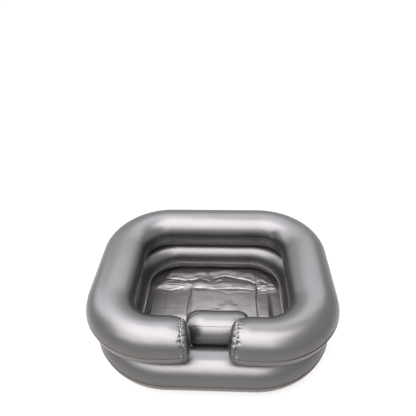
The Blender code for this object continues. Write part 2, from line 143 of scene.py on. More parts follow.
def camera_matrix():
    """The camera's place and turn, from the fitted angles."""
    level = cos(elevation)
    back = Vector((sin(azimuth) * level, -cos(azimuth) * level, sin(elevation)))
    across = Vector((cos(azimuth), sin(azimuth), 0))
    facing = Matrix((across, back.cross(across), back))
    turned_in = Matrix.Rotation(tilt, 3, "X") @ Matrix.Rotation(pan, 3, "Y") @ facing
    turn = (Matrix.Rotation(roll, 3, "Z") @ turned_in).transposed()
    return Matrix.Translation(camera_target + back * camera_distance) @ turn.to_4x4()


camera_data = bpy.data.cameras.new("camera")
camera_data.sensor_width = 36
camera_data.lens = focal_pixels / picture_side * camera_data.sensor_width
camera = add("camera", camera_data)
camera.matrix_world = camera_matrix()
bpy.context.scene.camera = camera
print("camera at", [round(c, 3) for c in camera.matrix_world.translation])

# %% [markdown]
# ## Small helpers for node trees
#
# Both the shapes and the finishes are node trees. `add_node` adds a node, `put` adds one and gives out its
# wire, and Python's own signs between wires add the Math nodes, so that a tree reads like the sum that it
# works out.


# %% Wires and nodes
class Wire:
    """What one socket of a node gives out. The signs + - * / add the Math node that works them out."""

    def __init__(self, socket):
        self.socket = socket

    def __add__(self, other):
        return calc("ADD", self, other)

    def __sub__(self, other):
        return calc("SUBTRACT", self, other)

    def __rsub__(self, other):
        return calc("SUBTRACT", other, self)

    def __mul__(self, other):
        return calc("MULTIPLY", self, other)

    def __truediv__(self, other):
        return calc("DIVIDE", self, other)

    __radd__, __rmul__ = __add__, __mul__


def add_node(tree, kind, feeds=(), **options):
    """Add a node, set its options and feed its inputs. A wire is linked, and anything else is a value."""
    node = tree.nodes.new(kind)
    for key, value in options.items():
        setattr(node, key, value)
    for key, value in feeds.items() if isinstance(feeds, dict) else enumerate(feeds):
        if isinstance(value, Wire):
            tree.links.new(value.socket, node.inputs[key])
        elif value is not None:
            node.inputs[key].default_value = value
    return node


def put(tree, kind, feeds=(), output=0, **options):
    """Add a node and take one of its outputs."""
    return Wire(add_node(tree, kind, feeds, **options).outputs[output])


def wires(node):
    """All outputs of a node by name."""
    return {socket.name: Wire(socket) for socket in node.outputs}


def calc(operation, *feeds, kind="ShaderNodeMath"):
    """One number worked out from others, or one vector with the kind of node that does vectors."""
    tree = next(feed.socket.id_data for feed in feeds if isinstance(feed, Wire))
    return put(tree, kind, feeds, operation=operation)


def join(wire, socket):
    """Link a wire to the socket where it ends."""
    socket.id_data.links.new(wire.socket, socket)


def cloud(tree, place, scale, detail):
    """Smooth noise from 0 to 1."""
    return put(tree, "ShaderNodeTexNoise", {"Vector": place, "Scale": scale, "Detail": detail})


def vector(tree, *parts):
    """A vector, or a colour, from three numbers."""
    return put(tree, "ShaderNodeCombineXYZ", parts)


def new_tree(name, kind, inputs, outputs):
    """A node group with named sockets, the wires of its inputs and the sockets of its outputs."""
    tree = bpy.data.node_groups.new(name, kind)
    for way, sockets in (("INPUT", inputs), ("OUTPUT", outputs)):
        for label, socket_kind in sockets.items():
            tree.interface.new_socket(name=label, in_out=way, socket_type="NodeSocket" + socket_kind)
    return tree, wires(tree.nodes.new("NodeGroupInput")), tree.nodes.new("NodeGroupOutput").inputs


def keep_made(item, modifier):
    """Keep what a modifier makes as the object's own mesh."""
    evaluated = item.evaluated_get(bpy.context.evaluated_depsgraph_get())
    item_mesh = bpy.data.meshes.new_from_object(evaluated)
    item.modifiers.remove(modifier)
    item.data = item_mesh
    return item_mesh


def grown(name, start, tree, values):
    """Run a Geometry Nodes tree on a start mesh and keep the result as a plain object."""
    item = add(name, start)
    modifier = item.modifiers.new(name, "NODES")
    modifier.node_group = tree
    for socket in tree.interface.items_tree:
        if socket.item_type == "SOCKET" and socket.in_out == "INPUT" and socket.name in values:
            modifier[socket.identifier] = values[socket.name]
    keep_made(item, modifier).name = name
    return item


vectors = "ShaderNodeVectorMath"
print("helpers for", vectors, "and numbers")

# %% [markdown]
# ## Finishes
#
# The film is PVC with a fine pearl pigment: satin, with broad soft highlights, and never quite even. Two
# shared groups carry what several finishes use. `film_unevenness` gives the faint clouding of the pigment and
# the fine ripple of a film that is stretched by air. `weld_paleness_and_highlight` gives the paler, rougher
# look of PVC that a hot welding bar has pressed, together with a painted highlight along the seams' lips, and
# reads how much of it from the pieces' own `weld` values. The shaders stay in each material, with their own
# constant values.

# %% Shared surface groups
film_unevenness, given, result = new_tree(
    "film_unevenness", "ShaderNodeTree", {"Colour": "Color", "Clouding": "Float", "Ripple": "Float"},
    {"Colour": "Color", "Mask": "Float", "Height": "Float"})
place = put(film_unevenness, "ShaderNodeTexCoord", output="Object")
clouds = cloud(film_unevenness, place, 14.0, 3.0)
grain = cloud(film_unevenness, place, 900.0, 2.0)
ripple = cloud(film_unevenness, place, 55.0, 2.0)
mixed = clouds * 0.8 + grain * 0.2
level = (mixed - 0.5) * given["Clouding"] + 1.0
shaded = calc("MULTIPLY", given["Colour"], vector(film_unevenness, level, level, level), kind=vectors)
join(shaded, result["Colour"])
join(mixed, result["Mask"])
join(ripple * given["Ripple"] + grain * 0.02, result["Height"])

# Mixes in the pale weld colour by the pieces' `weld` values: partly paler pressed PVC, partly a painted
# highlight along the seams.
weld_paleness_and_highlight, given, result = new_tree(
    "weld_paleness_and_highlight", "ShaderNodeTree", {"Colour": "Color", "Weld colour": "Color", "Share": "Float"},
    {"Colour": "Color", "Mask": "Float"})
weld = put(weld_paleness_and_highlight, "ShaderNodeAttribute", output="Fac", attribute_name="weld")
scuffs = cloud(weld_paleness_and_highlight, put(weld_paleness_and_highlight, "ShaderNodeTexCoord", output="Object"), 160.0, 3.0)
mask = weld * ((scuffs + 0.35) * given["Share"])
feeds = {"Factor": mask, "A": given["Colour"], "B": given["Weld colour"]}
weld_and_highlight = put(weld_paleness_and_highlight, "ShaderNodeMix", feeds, "Result", data_type="RGBA", clamp_factor=True)
join(weld_and_highlight, result["Colour"])
join(mask, result["Mask"])
print("surface groups", film_unevenness.name, weld_paleness_and_highlight.name)

# %% [markdown]
# Each PVC finish is one Principled surface. Pearl pigment lies between paint and metal, so the film is partly
# metallic, and its satin skin is the roughness. The floor sheet is the same film without air in it, a little
# paler in its pigment, duller and less metallic. The fittings are moulded in plain grey soft PVC.

# %% The finishes
satin_swing, weld_roughness, weld_cover = 0.10, 0.15, 0.6


def new_material(name, values):
    """A material whose Principled shader has these values on its own sockets, and those sockets."""
    material = bpy.data.materials.new(name)
    material.use_nodes = True
    sockets = material.node_tree.nodes["Principled BSDF"].inputs
    for label, value in values.items():
        sockets[label].default_value = value
    return material, sockets


def pvc(name, colour, weld_colour, metallic, roughness, clouding, ripple, bump_depth, tint):
    """A PVC finish: pigment clouding, pale welds with a painted seam highlight, satin skin and fine ripple.
    """
    material, shader = new_material(name, {"Metallic": metallic, "Specular Tint": (*tint, 1)})
    tree = material.node_tree
    feeds = {"Colour": (*colour, 1), "Clouding": clouding, "Ripple": ripple}
    uneven = wires(add_node(tree, "ShaderNodeGroup", feeds, node_tree=film_unevenness))
    feeds = {"Colour": uneven["Colour"], "Weld colour": (*weld_colour, 1), "Share": weld_cover}
    weld_and_highlight = wires(add_node(tree, "ShaderNodeGroup", feeds, node_tree=weld_paleness_and_highlight))
    join(weld_and_highlight["Colour"], shader["Base Color"])
    satin = calc("MULTIPLY_ADD", uneven["Mask"], satin_swing, roughness - satin_swing / 2)
    join(calc("MULTIPLY_ADD", weld_and_highlight["Mask"], weld_roughness, satin), shader["Roughness"])
    bump = put(tree, "ShaderNodeBump", {"Height": uneven["Height"], "Distance": bump_depth})
    join(bump, shader["Normal"])
    return material


# The near-white weld colour is partly pale pressed PVC and partly a painted highlight on the seam lips.
silver_film = pvc(
    "silver film", (0.130, 0.130, 0.128), (0.80, 0.79, 0.77), metallic=0.93, roughness=0.34,
    clouding=0.10, ripple=0.5, bump_depth=0.0004, tint=(1.0, 0.97, 0.98))
floor_film = pvc(
    "floor film", (0.202, 0.195, 0.191), (0.34, 0.33, 0.32), metallic=0.86, roughness=0.45,
    clouding=0.16, ripple=1.0, bump_depth=0.0006, tint=(1.0, 0.97, 0.97))
soft_plastic = pvc(
    "soft plastic", (0.235, 0.230, 0.228), (0.40, 0.40, 0.40), metallic=0.25, roughness=0.38,
    clouding=0.08, ripple=0.3, bump_depth=0.0003, tint=(1.0, 1.0, 1.0))
print("finishes", [m.name for m in (silver_film, floor_film, soft_plastic)])

# %% [markdown]
# ## Stage and light
#
# The basin stands on a pale floor. Two large soft lamps overhead and a long one at the front give the broad
# highlights along the tubes, a wide bluish one over the back lights the side tubes' tops, and two weak ones
# behind and at the left fill the rest.
# The floor and the world show white to the camera and in reflections through Light Path, so the background
# is white without more light on the film, and the floor still keeps the basin's shadow. Far from the basin
# the lamps light the floor less, so there the camera gets the rest of the white from the floor itself.

# %% Floor and world
stage_reach, near_white, fade_from, fade_to, ambient = 6.0, 0.72, 0.7, 2.4, 0.08


def white_rays(tree):
    """1 for the rays that should see the white background, and 1 for the camera's own rays."""
    path = wires(add_node(tree, "ShaderNodeLightPath"))
    seen = calc("MAXIMUM", path["Is Camera Ray"], path["Is Glossy Ray"])
    return calc("MAXIMUM", seen, path["Is Transmission Ray"]), path["Is Camera Ray"]


def built(name, points, faces, material, welds=None, facing=None):
    """An object from its places and faces. Facing is a face's number and the way that it should look."""
    mesh = bpy.data.meshes.new(name)
    mesh.from_pydata([tuple(point) for point in points], [], faces)
    if welds is not None:
        mesh.attributes.new("weld", "FLOAT", "POINT").data.foreach_set("value", np.array(welds))
    mesh.update()
    if facing and mesh.polygons[facing[0]].normal.dot(Vector(facing[1])) < 0:
        mesh.flip_normals()
    return add(name, mesh, material)


stage_look, shader = new_material("stage floor", {
    "Base Color": (0.27, 0.265, 0.235, 1), "Roughness": 1.0, "Specular IOR Level": 0.0,
    "Emission Color": (1, 1, 1, 1)})
tree = stage_look.node_tree
seen, camera_rays = white_rays(tree)
place = put(tree, "ShaderNodeTexCoord", output="Object")
distance = put(tree, vectors, (place,), "Value", operation="LENGTH")
feeds = {"Value": distance, "From Min": fade_from, "From Max": fade_to}
far = put(tree, "ShaderNodeMapRange", feeds, "Result", interpolation_type="SMOOTHSTEP")
join(seen * near_white + camera_rays * far * (1 - near_white), shader["Emission Strength"])
square = [(x * stage_reach, y * stage_reach, -clearance) for x, y in ((-1, -1), (1, -1), (1, 1), (-1, 1))]
built("stage_floor", square, [(0, 1, 2, 3)], stage_look)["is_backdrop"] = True

world = bpy.data.worlds.new("studio")
world.use_nodes = True
bpy.context.scene.world = world
backdrop = world.node_tree.nodes["Background"].inputs
backdrop["Color"].default_value = (1, 1, 1, 1)
seen, camera_rays = white_rays(world.node_tree)
join(calc("MULTIPLY_ADD", seen, 1 - ambient, ambient), backdrop["Strength"])
bpy.context.scene.view_settings.view_transform = "Standard"
print("floor reaches m", stage_reach, "ambient", ambient)

# %% Lamps
lamp_target = Vector((0, 0, 0.1))
lamps = (
    ("overhead", (-0.24, -0.47, 1.88), (2.2, 1.5), 56.0, (0.99, 0.91, 0.97)),
    ("front", (-0.55, -1.65, 1.55), (3.0, 0.9), 28.0, (1.0, 0.94, 0.97)),
    ("halo", (-0.25, -0.60, 2.15), (3.4, 3.2), 50.0, (0.98, 0.93, 0.99)),
    ("sky", (-0.3, 1.06, 1.90), (5.0, 1.2), 56.0, (0.91, 0.92, 1.0)),
    ("behind", (0, 1.95, 1.15), (3.6, 1.0), 4.0, (0.93, 0.94, 1.0)),
    ("left", (-2.1, 1.0, 1.25), (1.6, 1.0), 10.0, (0.91, 0.92, 1.0)),
)
for name, place, size, power, colour in lamps:
    lamp = bpy.data.lights.new(name, "AREA")
    lamp.shape = "RECTANGLE"
    lamp.size, lamp.size_y = size
    lamp.energy, lamp.color = power, colour
    facing = (lamp_target - Vector(place)).to_track_quat("-Z", "Y").to_matrix().to_4x4()
    add(name, lamp).matrix_world = Matrix.Translation(place) @ facing
    print(name, "lamp of", power, "W")

# %% [markdown]
# ## Path of a ring
#
# A ring's tube follows a rounded rectangle. The path is a chain of points, and each point carries what the
# sweep needs there: the outward direction, the tube's share of its full size, how much of the weld lip is
# left and how strongly the tube bends. Close to the arms' ends the points lie closer together.


# %% Paths of the two rings
def plan_place(run, ring):
    """Place and outward angle on the right half of a centreline, run metres from the middle of the back."""
    straight, side, quarter = ring.half[0] - ring.corner, ring.half[1] - ring.corner, pi / 2 * ring.corner
    if run < straight:
        return run, ring.half[1], pi / 2
    run -= straight
    if run < quarter:
        angle = pi / 2 - run / ring.corner
        return straight + ring.corner * cos(angle), side + ring.corner * sin(angle), angle
    run -= quarter
    if run < 2 * side:
        return ring.half[0], side - run, 0.0
    run -= 2 * side
    if run < quarter:
        angle = -run / ring.corner
        return straight + ring.corner * cos(angle), -side + ring.corner * sin(angle), angle
    return straight - (run - quarter), -ring.half[1], -pi / 2


def run_lengths(ring, end_x, spacing=0.0034, end_zone=0.024, end_spacing=0.0015):
    """Distances along the right half from the middle of the back to the end, closer together at the end."""
    total = 2 * ring.half[0] - 2 * ring.corner + 2 * (ring.half[1] - ring.corner) + pi * ring.corner - end_x
    if not end_x:
        return np.linspace(0, total, int(total / spacing) + 1)
    coarse = np.linspace(0, total - end_zone, int((total - end_zone) / spacing) + 1)
    fine = np.linspace(total - end_zone, total, int(end_zone / end_spacing) + 1)
    return np.concatenate([coarse, fine[1:]])


def ring_path(name, ring, end_x):
    """The path as a mesh of points with what the sweep needs stored on them. Without an end it is closed.

    The outward direction is longer towards the sides, where the tube is wider than it is high."""
    rows = []
    for run in run_lengths(ring, end_x):
        x, y, angle = plan_place(run, ring)
        bend = 1.0 if abs(sin(2 * angle)) > 1e-6 else 0.0
        reached = min(1.0, max(0.0, 1 - (x - end_x) / end_taper)) if end_x and y < 0 and angle < -1.5 else 0.0
        share, widen = 1 - (1 - end_share) * reached**1.7, 1.0 if reached else ring.side_share
        rows.append([x, y, angle - end_lean * reached, share, 1.0, bend, run, widen])
    if end_x:
        rows.append(list(rows[-1]))
        rows[-1][3] *= (ring.bore + weld_lip * rim_lip_share) / ring.bore
        rows[-1][4] = 0.0
    right = np.array(rows)
    left = right[::-1].copy()
    left[:, [0, 6]] *= -1
    left[:, 2] = pi - left[:, 2]
    table = np.concatenate([left[:-1], right if end_x else right[:-1]])
    x, y, angle, share, lip_share, bend, run, widen = table.T
    bend = np.convolve(np.pad(bend, 6, mode="wrap"), np.ones(13) / 13, mode="valid")
    mesh = bpy.data.meshes.new(name)
    mesh.from_pydata([(*spot, 0) for spot in table[:, :2]], [], [])
    outward = np.stack([np.cos(angle) * widen, np.sin(angle), np.zeros(len(table))], axis=1)
    mesh.attributes.new("outward", "FLOAT_VECTOR", "POINT").data.foreach_set("vector", outward.ravel())
    for label, values in (("share", share), ("lip_share", lip_share), ("bend", bend), ("run", run)):
        mesh.attributes.new(label, "FLOAT", "POINT").data.foreach_set("value", np.ascontiguousarray(values))
    return mesh, len(table) + (0 if end_x else 1)


upper_path, lower_path = ring_path("upper_path", upper, end_place), ring_path("lower_path", lower, 0.0)
print("columns", upper_path[1], lower_path[1])

# %% [markdown]
# ## The inflated film
#
# One film is half a tube, from the weld lip on the outside over the top or bottom to the lip on the inside.
# It could be bent from a cylinder, but then the lips and the flat weld band would have to be cut in after.
# A Geometry Nodes tree makes it by rule instead: a grid whose columns follow the path and whose rows go round
# the tube. The same tree makes all four films from their own sizes. Small puckers run out from the welds,
# stronger inside the corners, where the film has too much length for the bend.


# %% The inflated film tree
def film_tree():
    """Sweeps half a tube along a path of points, with weld lips, a flat band and puckers at the welds."""
    sizes = ("Bore", "Seam height", "Side", "Lip", "Gap", "Flat level", "Pucker depth", "Pucker reach",
             "Pucker pitch", "Unevenness", "Seed", "Outer lip share", "Inner lip share")
    inputs = {"Path": "Geometry", "Columns": "Int", "Rows": "Int", "Finish": "Material"}
    inputs.update(dict.fromkeys(sizes, "Float"))
    tree, given, result = new_tree("inflated_film", "GeometryNodeTree", inputs, {"Film": "Geometry"})
    grid = put(tree, "GeometryNodeMeshGrid", {
        "Size X": 1.0, "Size Y": 1.0, "Vertices X": given["Columns"], "Vertices Y": given["Rows"]}, "Mesh")
    spot = wires(add_node(tree, "ShaderNodeSeparateXYZ", (put(tree, "GeometryNodeInputPosition"),)))
    column = calc("ROUND", (spot["X"] + 0.5) * (given["Columns"] - 1))
    count = put(tree, "GeometryNodeAttributeDomainSize", {"Geometry": given["Path"]}, "Point Count")
    column = calc("MODULO", column, count)

    def on_path(value, kind="FLOAT"):
        """What the path has at this column."""
        feeds = {"Geometry": given["Path"], "Value": value, "Index": column}
        return put(tree, "GeometryNodeSampleIndex", feeds, data_type=kind)

    def stored(label, kind="FLOAT"):
        """What the path stores under a name."""
        return put(tree, "GeometryNodeInputNamedAttribute", {"Name": label}, "Attribute", data_type=kind)

    centre = on_path(put(tree, "GeometryNodeInputPosition"), "FLOAT_VECTOR")
    outward = on_path(stored("outward", "FLOAT_VECTOR"), "FLOAT_VECTOR")
    share, lip_share, bend, run = (on_path(stored(label)) for label in ("share", "lip_share", "bend", "run"))

    rows_less = given["Rows"] - 3
    turn = (calc("ROUND", (spot["Y"] + 0.5) * (rows_less + 2)) - 1) / rows_less
    inside = calc("MINIMUM", calc("MAXIMUM", turn, 0.0), 1.0)
    beyond = calc("ABSOLUTE", turn - inside) * rows_less
    angle = (inside + calc("SINE", inside * (2 * pi)) * (-0.3 / 2 / pi)) * pi
    cosine, sine = calc("COSINE", angle), calc("SINE", angle)

    inner_side = calc("GREATER_THAN", angle, pi / 2)
    lip_width = put(tree, "ShaderNodeMix", {
        "Factor": inner_side, "A": given["Outer lip share"], "B": given["Inner lip share"]})
    lip = given["Lip"] * beyond * lip_share * lip_width
    from_seam = calc("MINIMUM", angle, pi - angle) * given["Bore"]
    near = calc("MAXIMUM", 1.0 - from_seam / given["Pucker reach"], 0.0)
    near = near * (near * (1.0 - beyond))
    wave_place = vector(tree, run / given["Pucker pitch"], angle * 0.8, given["Seed"])
    fold = calc("MAXIMUM", (cloud(tree, wave_place, 1.0, 1.0) - 0.42) * 3.0, 0.0)
    pucker = given["Pucker depth"] * near * (fold * (1.0 + bend * inner_side * 1.2))
    broad_place = vector(tree, run * 22.0, angle * 0.9, given["Seed"] + 7.0)
    sag = cloud(tree, broad_place, 1.0, 1.0) * sine * given["Unevenness"]

    reach = given["Bore"] - (pucker + sag)
    across = (reach * cosine + lip * calc("SIGN", cosine)) * share
    rise = calc("SMOOTH_MIN", reach * sine * share, given["Flat level"], 0.0008)
    height = given["Seam height"] + given["Side"] * (rise + given["Gap"] * 0.5)
    aside = calc("ADD", centre, calc("SCALE", outward, None, None, across, kind=vectors), kind=vectors)
    swept = calc("ADD", aside, vector(tree, 0.0, 0.0, height), kind=vectors)

    # The weld share paints the pale seam and its highlight: strong on wide lips, faint on narrow ones such as
    # the upper ring's inner lip.
    welded = beyond * calc("POWER", lip_width, 3.0)
    feeds = {"Geometry": grid, "Name": "weld", "Value": welded}
    shape = put(tree, "GeometryNodeStoreNamedAttribute", feeds, data_type="FLOAT", domain="POINT")
    for kind, feeds in (("SetPosition", {"Position": swept}), ("MergeByDistance", {"Distance": 0.00001}),
                        ("SetMaterial", {"Material": given["Finish"]}), ("RealizeInstances", {})):
        shape = put(tree, "GeometryNode" + kind, {"Geometry": shape, **feeds})
    join(shape, result["Film"])
    return tree


inflated_film = film_tree()
print("film tree has", len(inflated_film.nodes), "nodes")


# %% Mesh helpers
def mesh_points(mesh):
    """All vertex places as an array."""
    table = np.empty(len(mesh.vertices) * 3)
    mesh.vertices.foreach_get("co", table)
    return table.reshape(-1, 3)


def put_points(mesh, table):
    """Write the vertex places back."""
    mesh.vertices.foreach_set("co", np.ascontiguousarray(table).ravel())
    mesh.update()


def ease(values, low, high):
    """0 below low and 1 above high, with a soft change between them."""
    share = np.clip((values - low) / (high - low), 0, 1)
    return share * share * (3 - 2 * share)


def shade(mesh, degrees):
    """Shade it smooth, apart from edges that are sharper than this."""
    mesh.shade_smooth()
    mesh.set_sharp_from_angle(angle=radians(degrees))


def with_wall(item, wall=film):
    """Give an open film its wall, grown outwards, and shade it smooth."""
    modifier = item.modifiers.new("wall", "SOLIDIFY")
    modifier.thickness = wall
    modifier.offset = 1.0
    shade(keep_made(item, modifier), 60)


def hand_over(item, body, *nodes, slot="fitting"):
    """The finished piece rides on its body and stands for its CAD nodes. The slot is not used."""
    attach(item, body)
    if nodes:
        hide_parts(*nodes)
    print(item.name, "faces", len(item.data.polygons), "on", body)


def padded_film(item, node):
    with_wall(item)
    hand_over(item, "basin", node, slot="silver_film")


# %% [markdown]
# ## Valve seats
#
# Each air chamber has a push-in valve. The film is pulled flat round it, because a stiff flange is welded
# under it, and a round mouth is punched through the film. The seats repeat the CAD's places: on the outer
# back of each ring, and on the side of the pillow that faces the water.

# %% Valve seats
band_turn = 0.563175
seat_normal = np.array([0, cos(band_turn), sin(band_turn)])
pillow_centre = np.array([0.017, -0.1293, 0.0978])
pillow_rise, pillow_drop, pillow_half_width, pillow_length = 0.0425, 0.0435, 0.0395, 0.155
pillow_band = asin(weld_band / 2 / pillow_half_width)
mouth_radius, seat_depth = 0.008, 0.012


def ring_seat(x, ring):
    """A valve's place on the outer back of a ring."""
    return np.array([x, ring.half[1], ring.height + clearance / 2]) + seat_normal * (flat_level(ring) + film)


valve_seats = {
    "upper_valve": ring_seat(valve_offset, upper),
    "lower_valve": ring_seat(-valve_offset, lower),
    "pillow_valve": pillow_centre + seat_normal * (pillow_rise * cos(pillow_band) + film),
}
for label, seat in valve_seats.items():
    print(label, "seat in mm", np.round(1000 * seat, 1))


def seat_film(mesh, seat, flat_radius=0.0125, blend_radius=0.028):
    """Pull the film flat round a valve and punch its mouth."""
    table = mesh_points(mesh)
    offset = table - seat
    above = offset @ seat_normal
    aside = np.linalg.norm(offset - np.outer(above, seat_normal), axis=1)
    close = (aside < blend_radius) & (np.abs(above) < seat_depth)
    pull = (1 - ease(aside, flat_radius, blend_radius)) * np.maximum(above + film, 0) * close
    table -= np.outer(pull, seat_normal)
    level = close & (aside < flat_radius)
    table[level] -= np.outer(((table[level] - seat) @ seat_normal + film), seat_normal)
    put_points(mesh, table)
    working = bmesh.new()
    working.from_mesh(mesh)
    working.verts.ensure_lookup_table()
    inside = {v for v in working.verts if close[v.index] and aside[v.index] < mouth_radius * 1.02}
    doomed = [f for f in working.faces if any(v in inside for v in f.verts)]
    for vertex in {v for f in doomed for v in f.verts} - inside:
        away = np.array(vertex.co) - seat
        away -= seat_normal * (away @ seat_normal)
        vertex.co = Vector(seat + away / np.linalg.norm(away) * mouth_radius - seat_normal * film)
    bmesh.ops.delete(working, geom=doomed, context="FACES")
    working.to_mesh(mesh)
    working.free()


# %% [markdown]
# ## The four ring films
#
# The films are grown from the tree and then shaped where something touches them: the lower ring's top film is
# pressed flat where the pillow lies on it, the films are seated round the valves, and the open ends of the
# upper ring are gathered into fine pleats, because a round tube is welded there to a flat disc. The pleats
# are sums of sines by the angle round the tube, so that the films and the discs can follow the same ones.

# %% Pleats at the arms' ends
rim_wave_depth, disc_fold_depth, rim_pleat_depth, finer_zone = 0.0016, 0.0032, 0.0034, 0.014
up = np.array([0, 0, 1.0])


def rim_wave(turn):
    """How far the welded rim at an arm's end waves along the arm, by the angle round it, from -1 to 1."""
    wave = 0.45 * np.sin(21 * turn + 1.7 * np.sin(3 * turn))
    wave = wave + 0.35 * np.sin(34 * turn + 0.9 + 1.1 * np.sin(5 * turn))
    return wave + 0.25 * np.sin(57 * turn + 2.0 * np.sin(4 * turn))


def peaks(wave, sharpness):
    """Narrow peaks from 0 to 1 where a wave is high."""
    return np.clip(0.5 + 0.5 * wave, 0, 1) ** sharpness


def rim_pleat(turn):
    """How deep the film folds in beside the rim, from 0 to 1: narrow valleys between broad ridges."""
    folded = np.sin(26 * turn + 1.8 * np.sin(4 * turn + 0.5) + 1.2 * np.sin(7 * turn))
    finer = np.sin(45 * turn + 2.2 * np.sin(5 * turn + 1.0))
    return np.maximum(peaks(folded, 5), 0.6 * peaks(finer, 7))


def disc_ridge(turn):
    """Where the gathered disc stands up beside its rim, from 0 to 1: narrow ridges between broad hollows."""
    return peaks(np.sin(24 * turn + 1.6 * np.sin(3 * turn + 1.0) + 0.9 * np.sin(8 * turn)), 4)


def off_seam(turn):
    """0 at the side seams, where the weld lips meet the rim, and 1 away from them."""
    return 1 - np.exp(-((np.abs(np.sin(turn)) / 0.10) ** 2))


def end_frame(side):
    """An arm end's centre, its outward direction in the section and its direction into the neck opening."""
    centre = np.array([side * end_place, -upper.half[1], upper.height])
    section_out = np.array([-side * sin(end_lean), -cos(end_lean), 0])
    into_gap = np.array([-side * cos(end_lean), sin(end_lean), 0])
    return centre, section_out, into_gap


def pleat_ends(mesh):
    """Gather the upper ring's open ends into pleats and wave their rim."""
    working = bmesh.new()
    working.from_mesh(mesh)
    reach = end_place + finer_zone
    near = [e for e in working.edges if all(abs(v.co.x) < reach and v.co.y < 0 for v in e.verts)]
    bmesh.ops.subdivide_edges(working, edges=near, cuts=1, use_grid_fill=True)
    working.to_mesh(mesh)
    working.free()
    table = mesh_points(mesh)
    for side in (1, -1):
        centre, section_out, into_gap = end_frame(side)
        offset = table - centre
        behind = -(offset @ into_gap)
        across, above = offset @ section_out, offset[:, 2]
        radius, turn = np.hypot(across, above), np.arctan2(above, across)
        mine = (table[:, 1] < -0.12) & (behind < 0.03) & (side * table[:, 0] > 0) & (behind > -0.002)
        fade = 1 - ease(behind / (0.010 + 0.005 * np.sin(8 * turn + 1.0)), 0, 1)
        lip = ease(radius, end_bore + 0.0004, end_bore + 0.0016) * (behind < 0.002)
        fold = rim_pleat(turn) * rim_pleat_depth * fade * ease(behind, -0.0005, 0.003) * (1 - lip)
        groove = 0.0005 + 0.0005 * np.sin(38 * turn + 2.0 * np.sin(6 * turn))
        fold += groove * np.exp(-(((behind - 0.0020) / 0.0020) ** 2)) * (1 - lip)
        outwards = np.outer(np.cos(turn), section_out) + np.outer(np.sin(turn), up)
        table -= np.where(mine[:, None], outwards * (fold * off_seam(turn))[:, None], 0)
        wave = rim_wave(turn) * rim_wave_depth * (1 - ease(behind, 0, 0.007)) * off_seam(turn)
        table += np.where(mine[:, None], into_gap[None, :] * wave[:, None], 0)
    put_points(mesh, table)


# %% Make the ring films
def press_under_pillow(mesh):
    """Flatten the lower ring's top film where the pillow lies on it."""
    table = mesh_points(mesh)
    centre = np.array([0, -lower.half[1], lower.height + clearance / 2])
    above = (table - centre) @ seat_normal - flat_level(lower)
    under = 1 - ease(np.abs(table[:, 0] - pillow_centre[0]), pillow_length * 0.42, pillow_length * 0.62)
    front = (table[:, 1] < -0.1) & (above > 0)
    table -= np.outer(np.where(front, above * under, 0), seat_normal)
    put_points(mesh, table)


def dent(mesh, place, reach, depth):
    """Press a small dent into an inflated film."""
    table = mesh_points(mesh)
    normals = np.array([vertex.normal for vertex in mesh.vertices])
    gap = np.linalg.norm(table - place, axis=1)
    put_points(mesh, table - normals * (depth * np.exp(-((gap / reach) ** 2)))[:, None])


films = {}
for name, ring, (path, columns), side, seed, flat, outer_lip, inner_lip in (
    ("upper_ring_top_film", upper, upper_path, 1.0, 3.0, 1.0, 0.7, 0.35),
    ("upper_ring_bottom_film", upper, upper_path, -1.0, 11.0, flat_level(upper), 0.7, 0.35),
    ("lower_ring_top_film", lower, lower_path, 1.0, 23.0, flat_level(lower), 0.5, 1.0),
    ("lower_ring_bottom_film", lower, lower_path, -1.0, 37.0, flat_level(lower), 0.5, 1.0),
):
    item = grown(name + "_skin", path.copy(), inflated_film, {
        "Columns": columns, "Rows": 58, "Bore": ring.bore, "Seam height": ring.height, "Side": side,
        "Lip": weld_lip, "Gap": clearance, "Flat level": flat, "Pucker depth": 0.0005,
        "Pucker reach": 0.016, "Pucker pitch": 0.010, "Unevenness": 0.0005, "Outer lip share": outer_lip,
        "Inner lip share": inner_lip, "Seed": seed, "Finish": silver_film})
    if side > 0:
        item.data.flip_normals()
    films[name] = item
    print(name, "vertices", len(item.data.vertices))

upper_top, upper_bottom, lower_top, lower_bottom = (item.data for item in films.values())
seat_film(upper_top, valve_seats["upper_valve"])
seat_film(lower_top, valve_seats["lower_valve"])
press_under_pillow(lower_top)
dent(upper_top, np.array([0.1658, 0.1402, 0.1706]), 0.0090, 0.0013)
dent(upper_top, np.array([0.0970, 0.1512, 0.1536]), 0.008, 0.0010)
pleat_ends(upper_top)
pleat_ends(upper_bottom)
for name, item in films.items():
    padded_film(item, name)

# %% [markdown]
# ## The domed ends
#
# A flat disc closes each arm. Air pushes it out to a dome, and its edge is gathered with the tube's edge into
# one welded, waving rim. The dome is laid out in rings and spokes, so the pleats can fade towards its middle,
# and it uses the same wave as the tube's rim, so the two lips stay parallel.

# %% Domed end discs
# disc_weld is how much pale weld and painted seam highlight the disc's rim gets; it is kept low.
disc_weld, gathered_reach = 0.03, 0.014


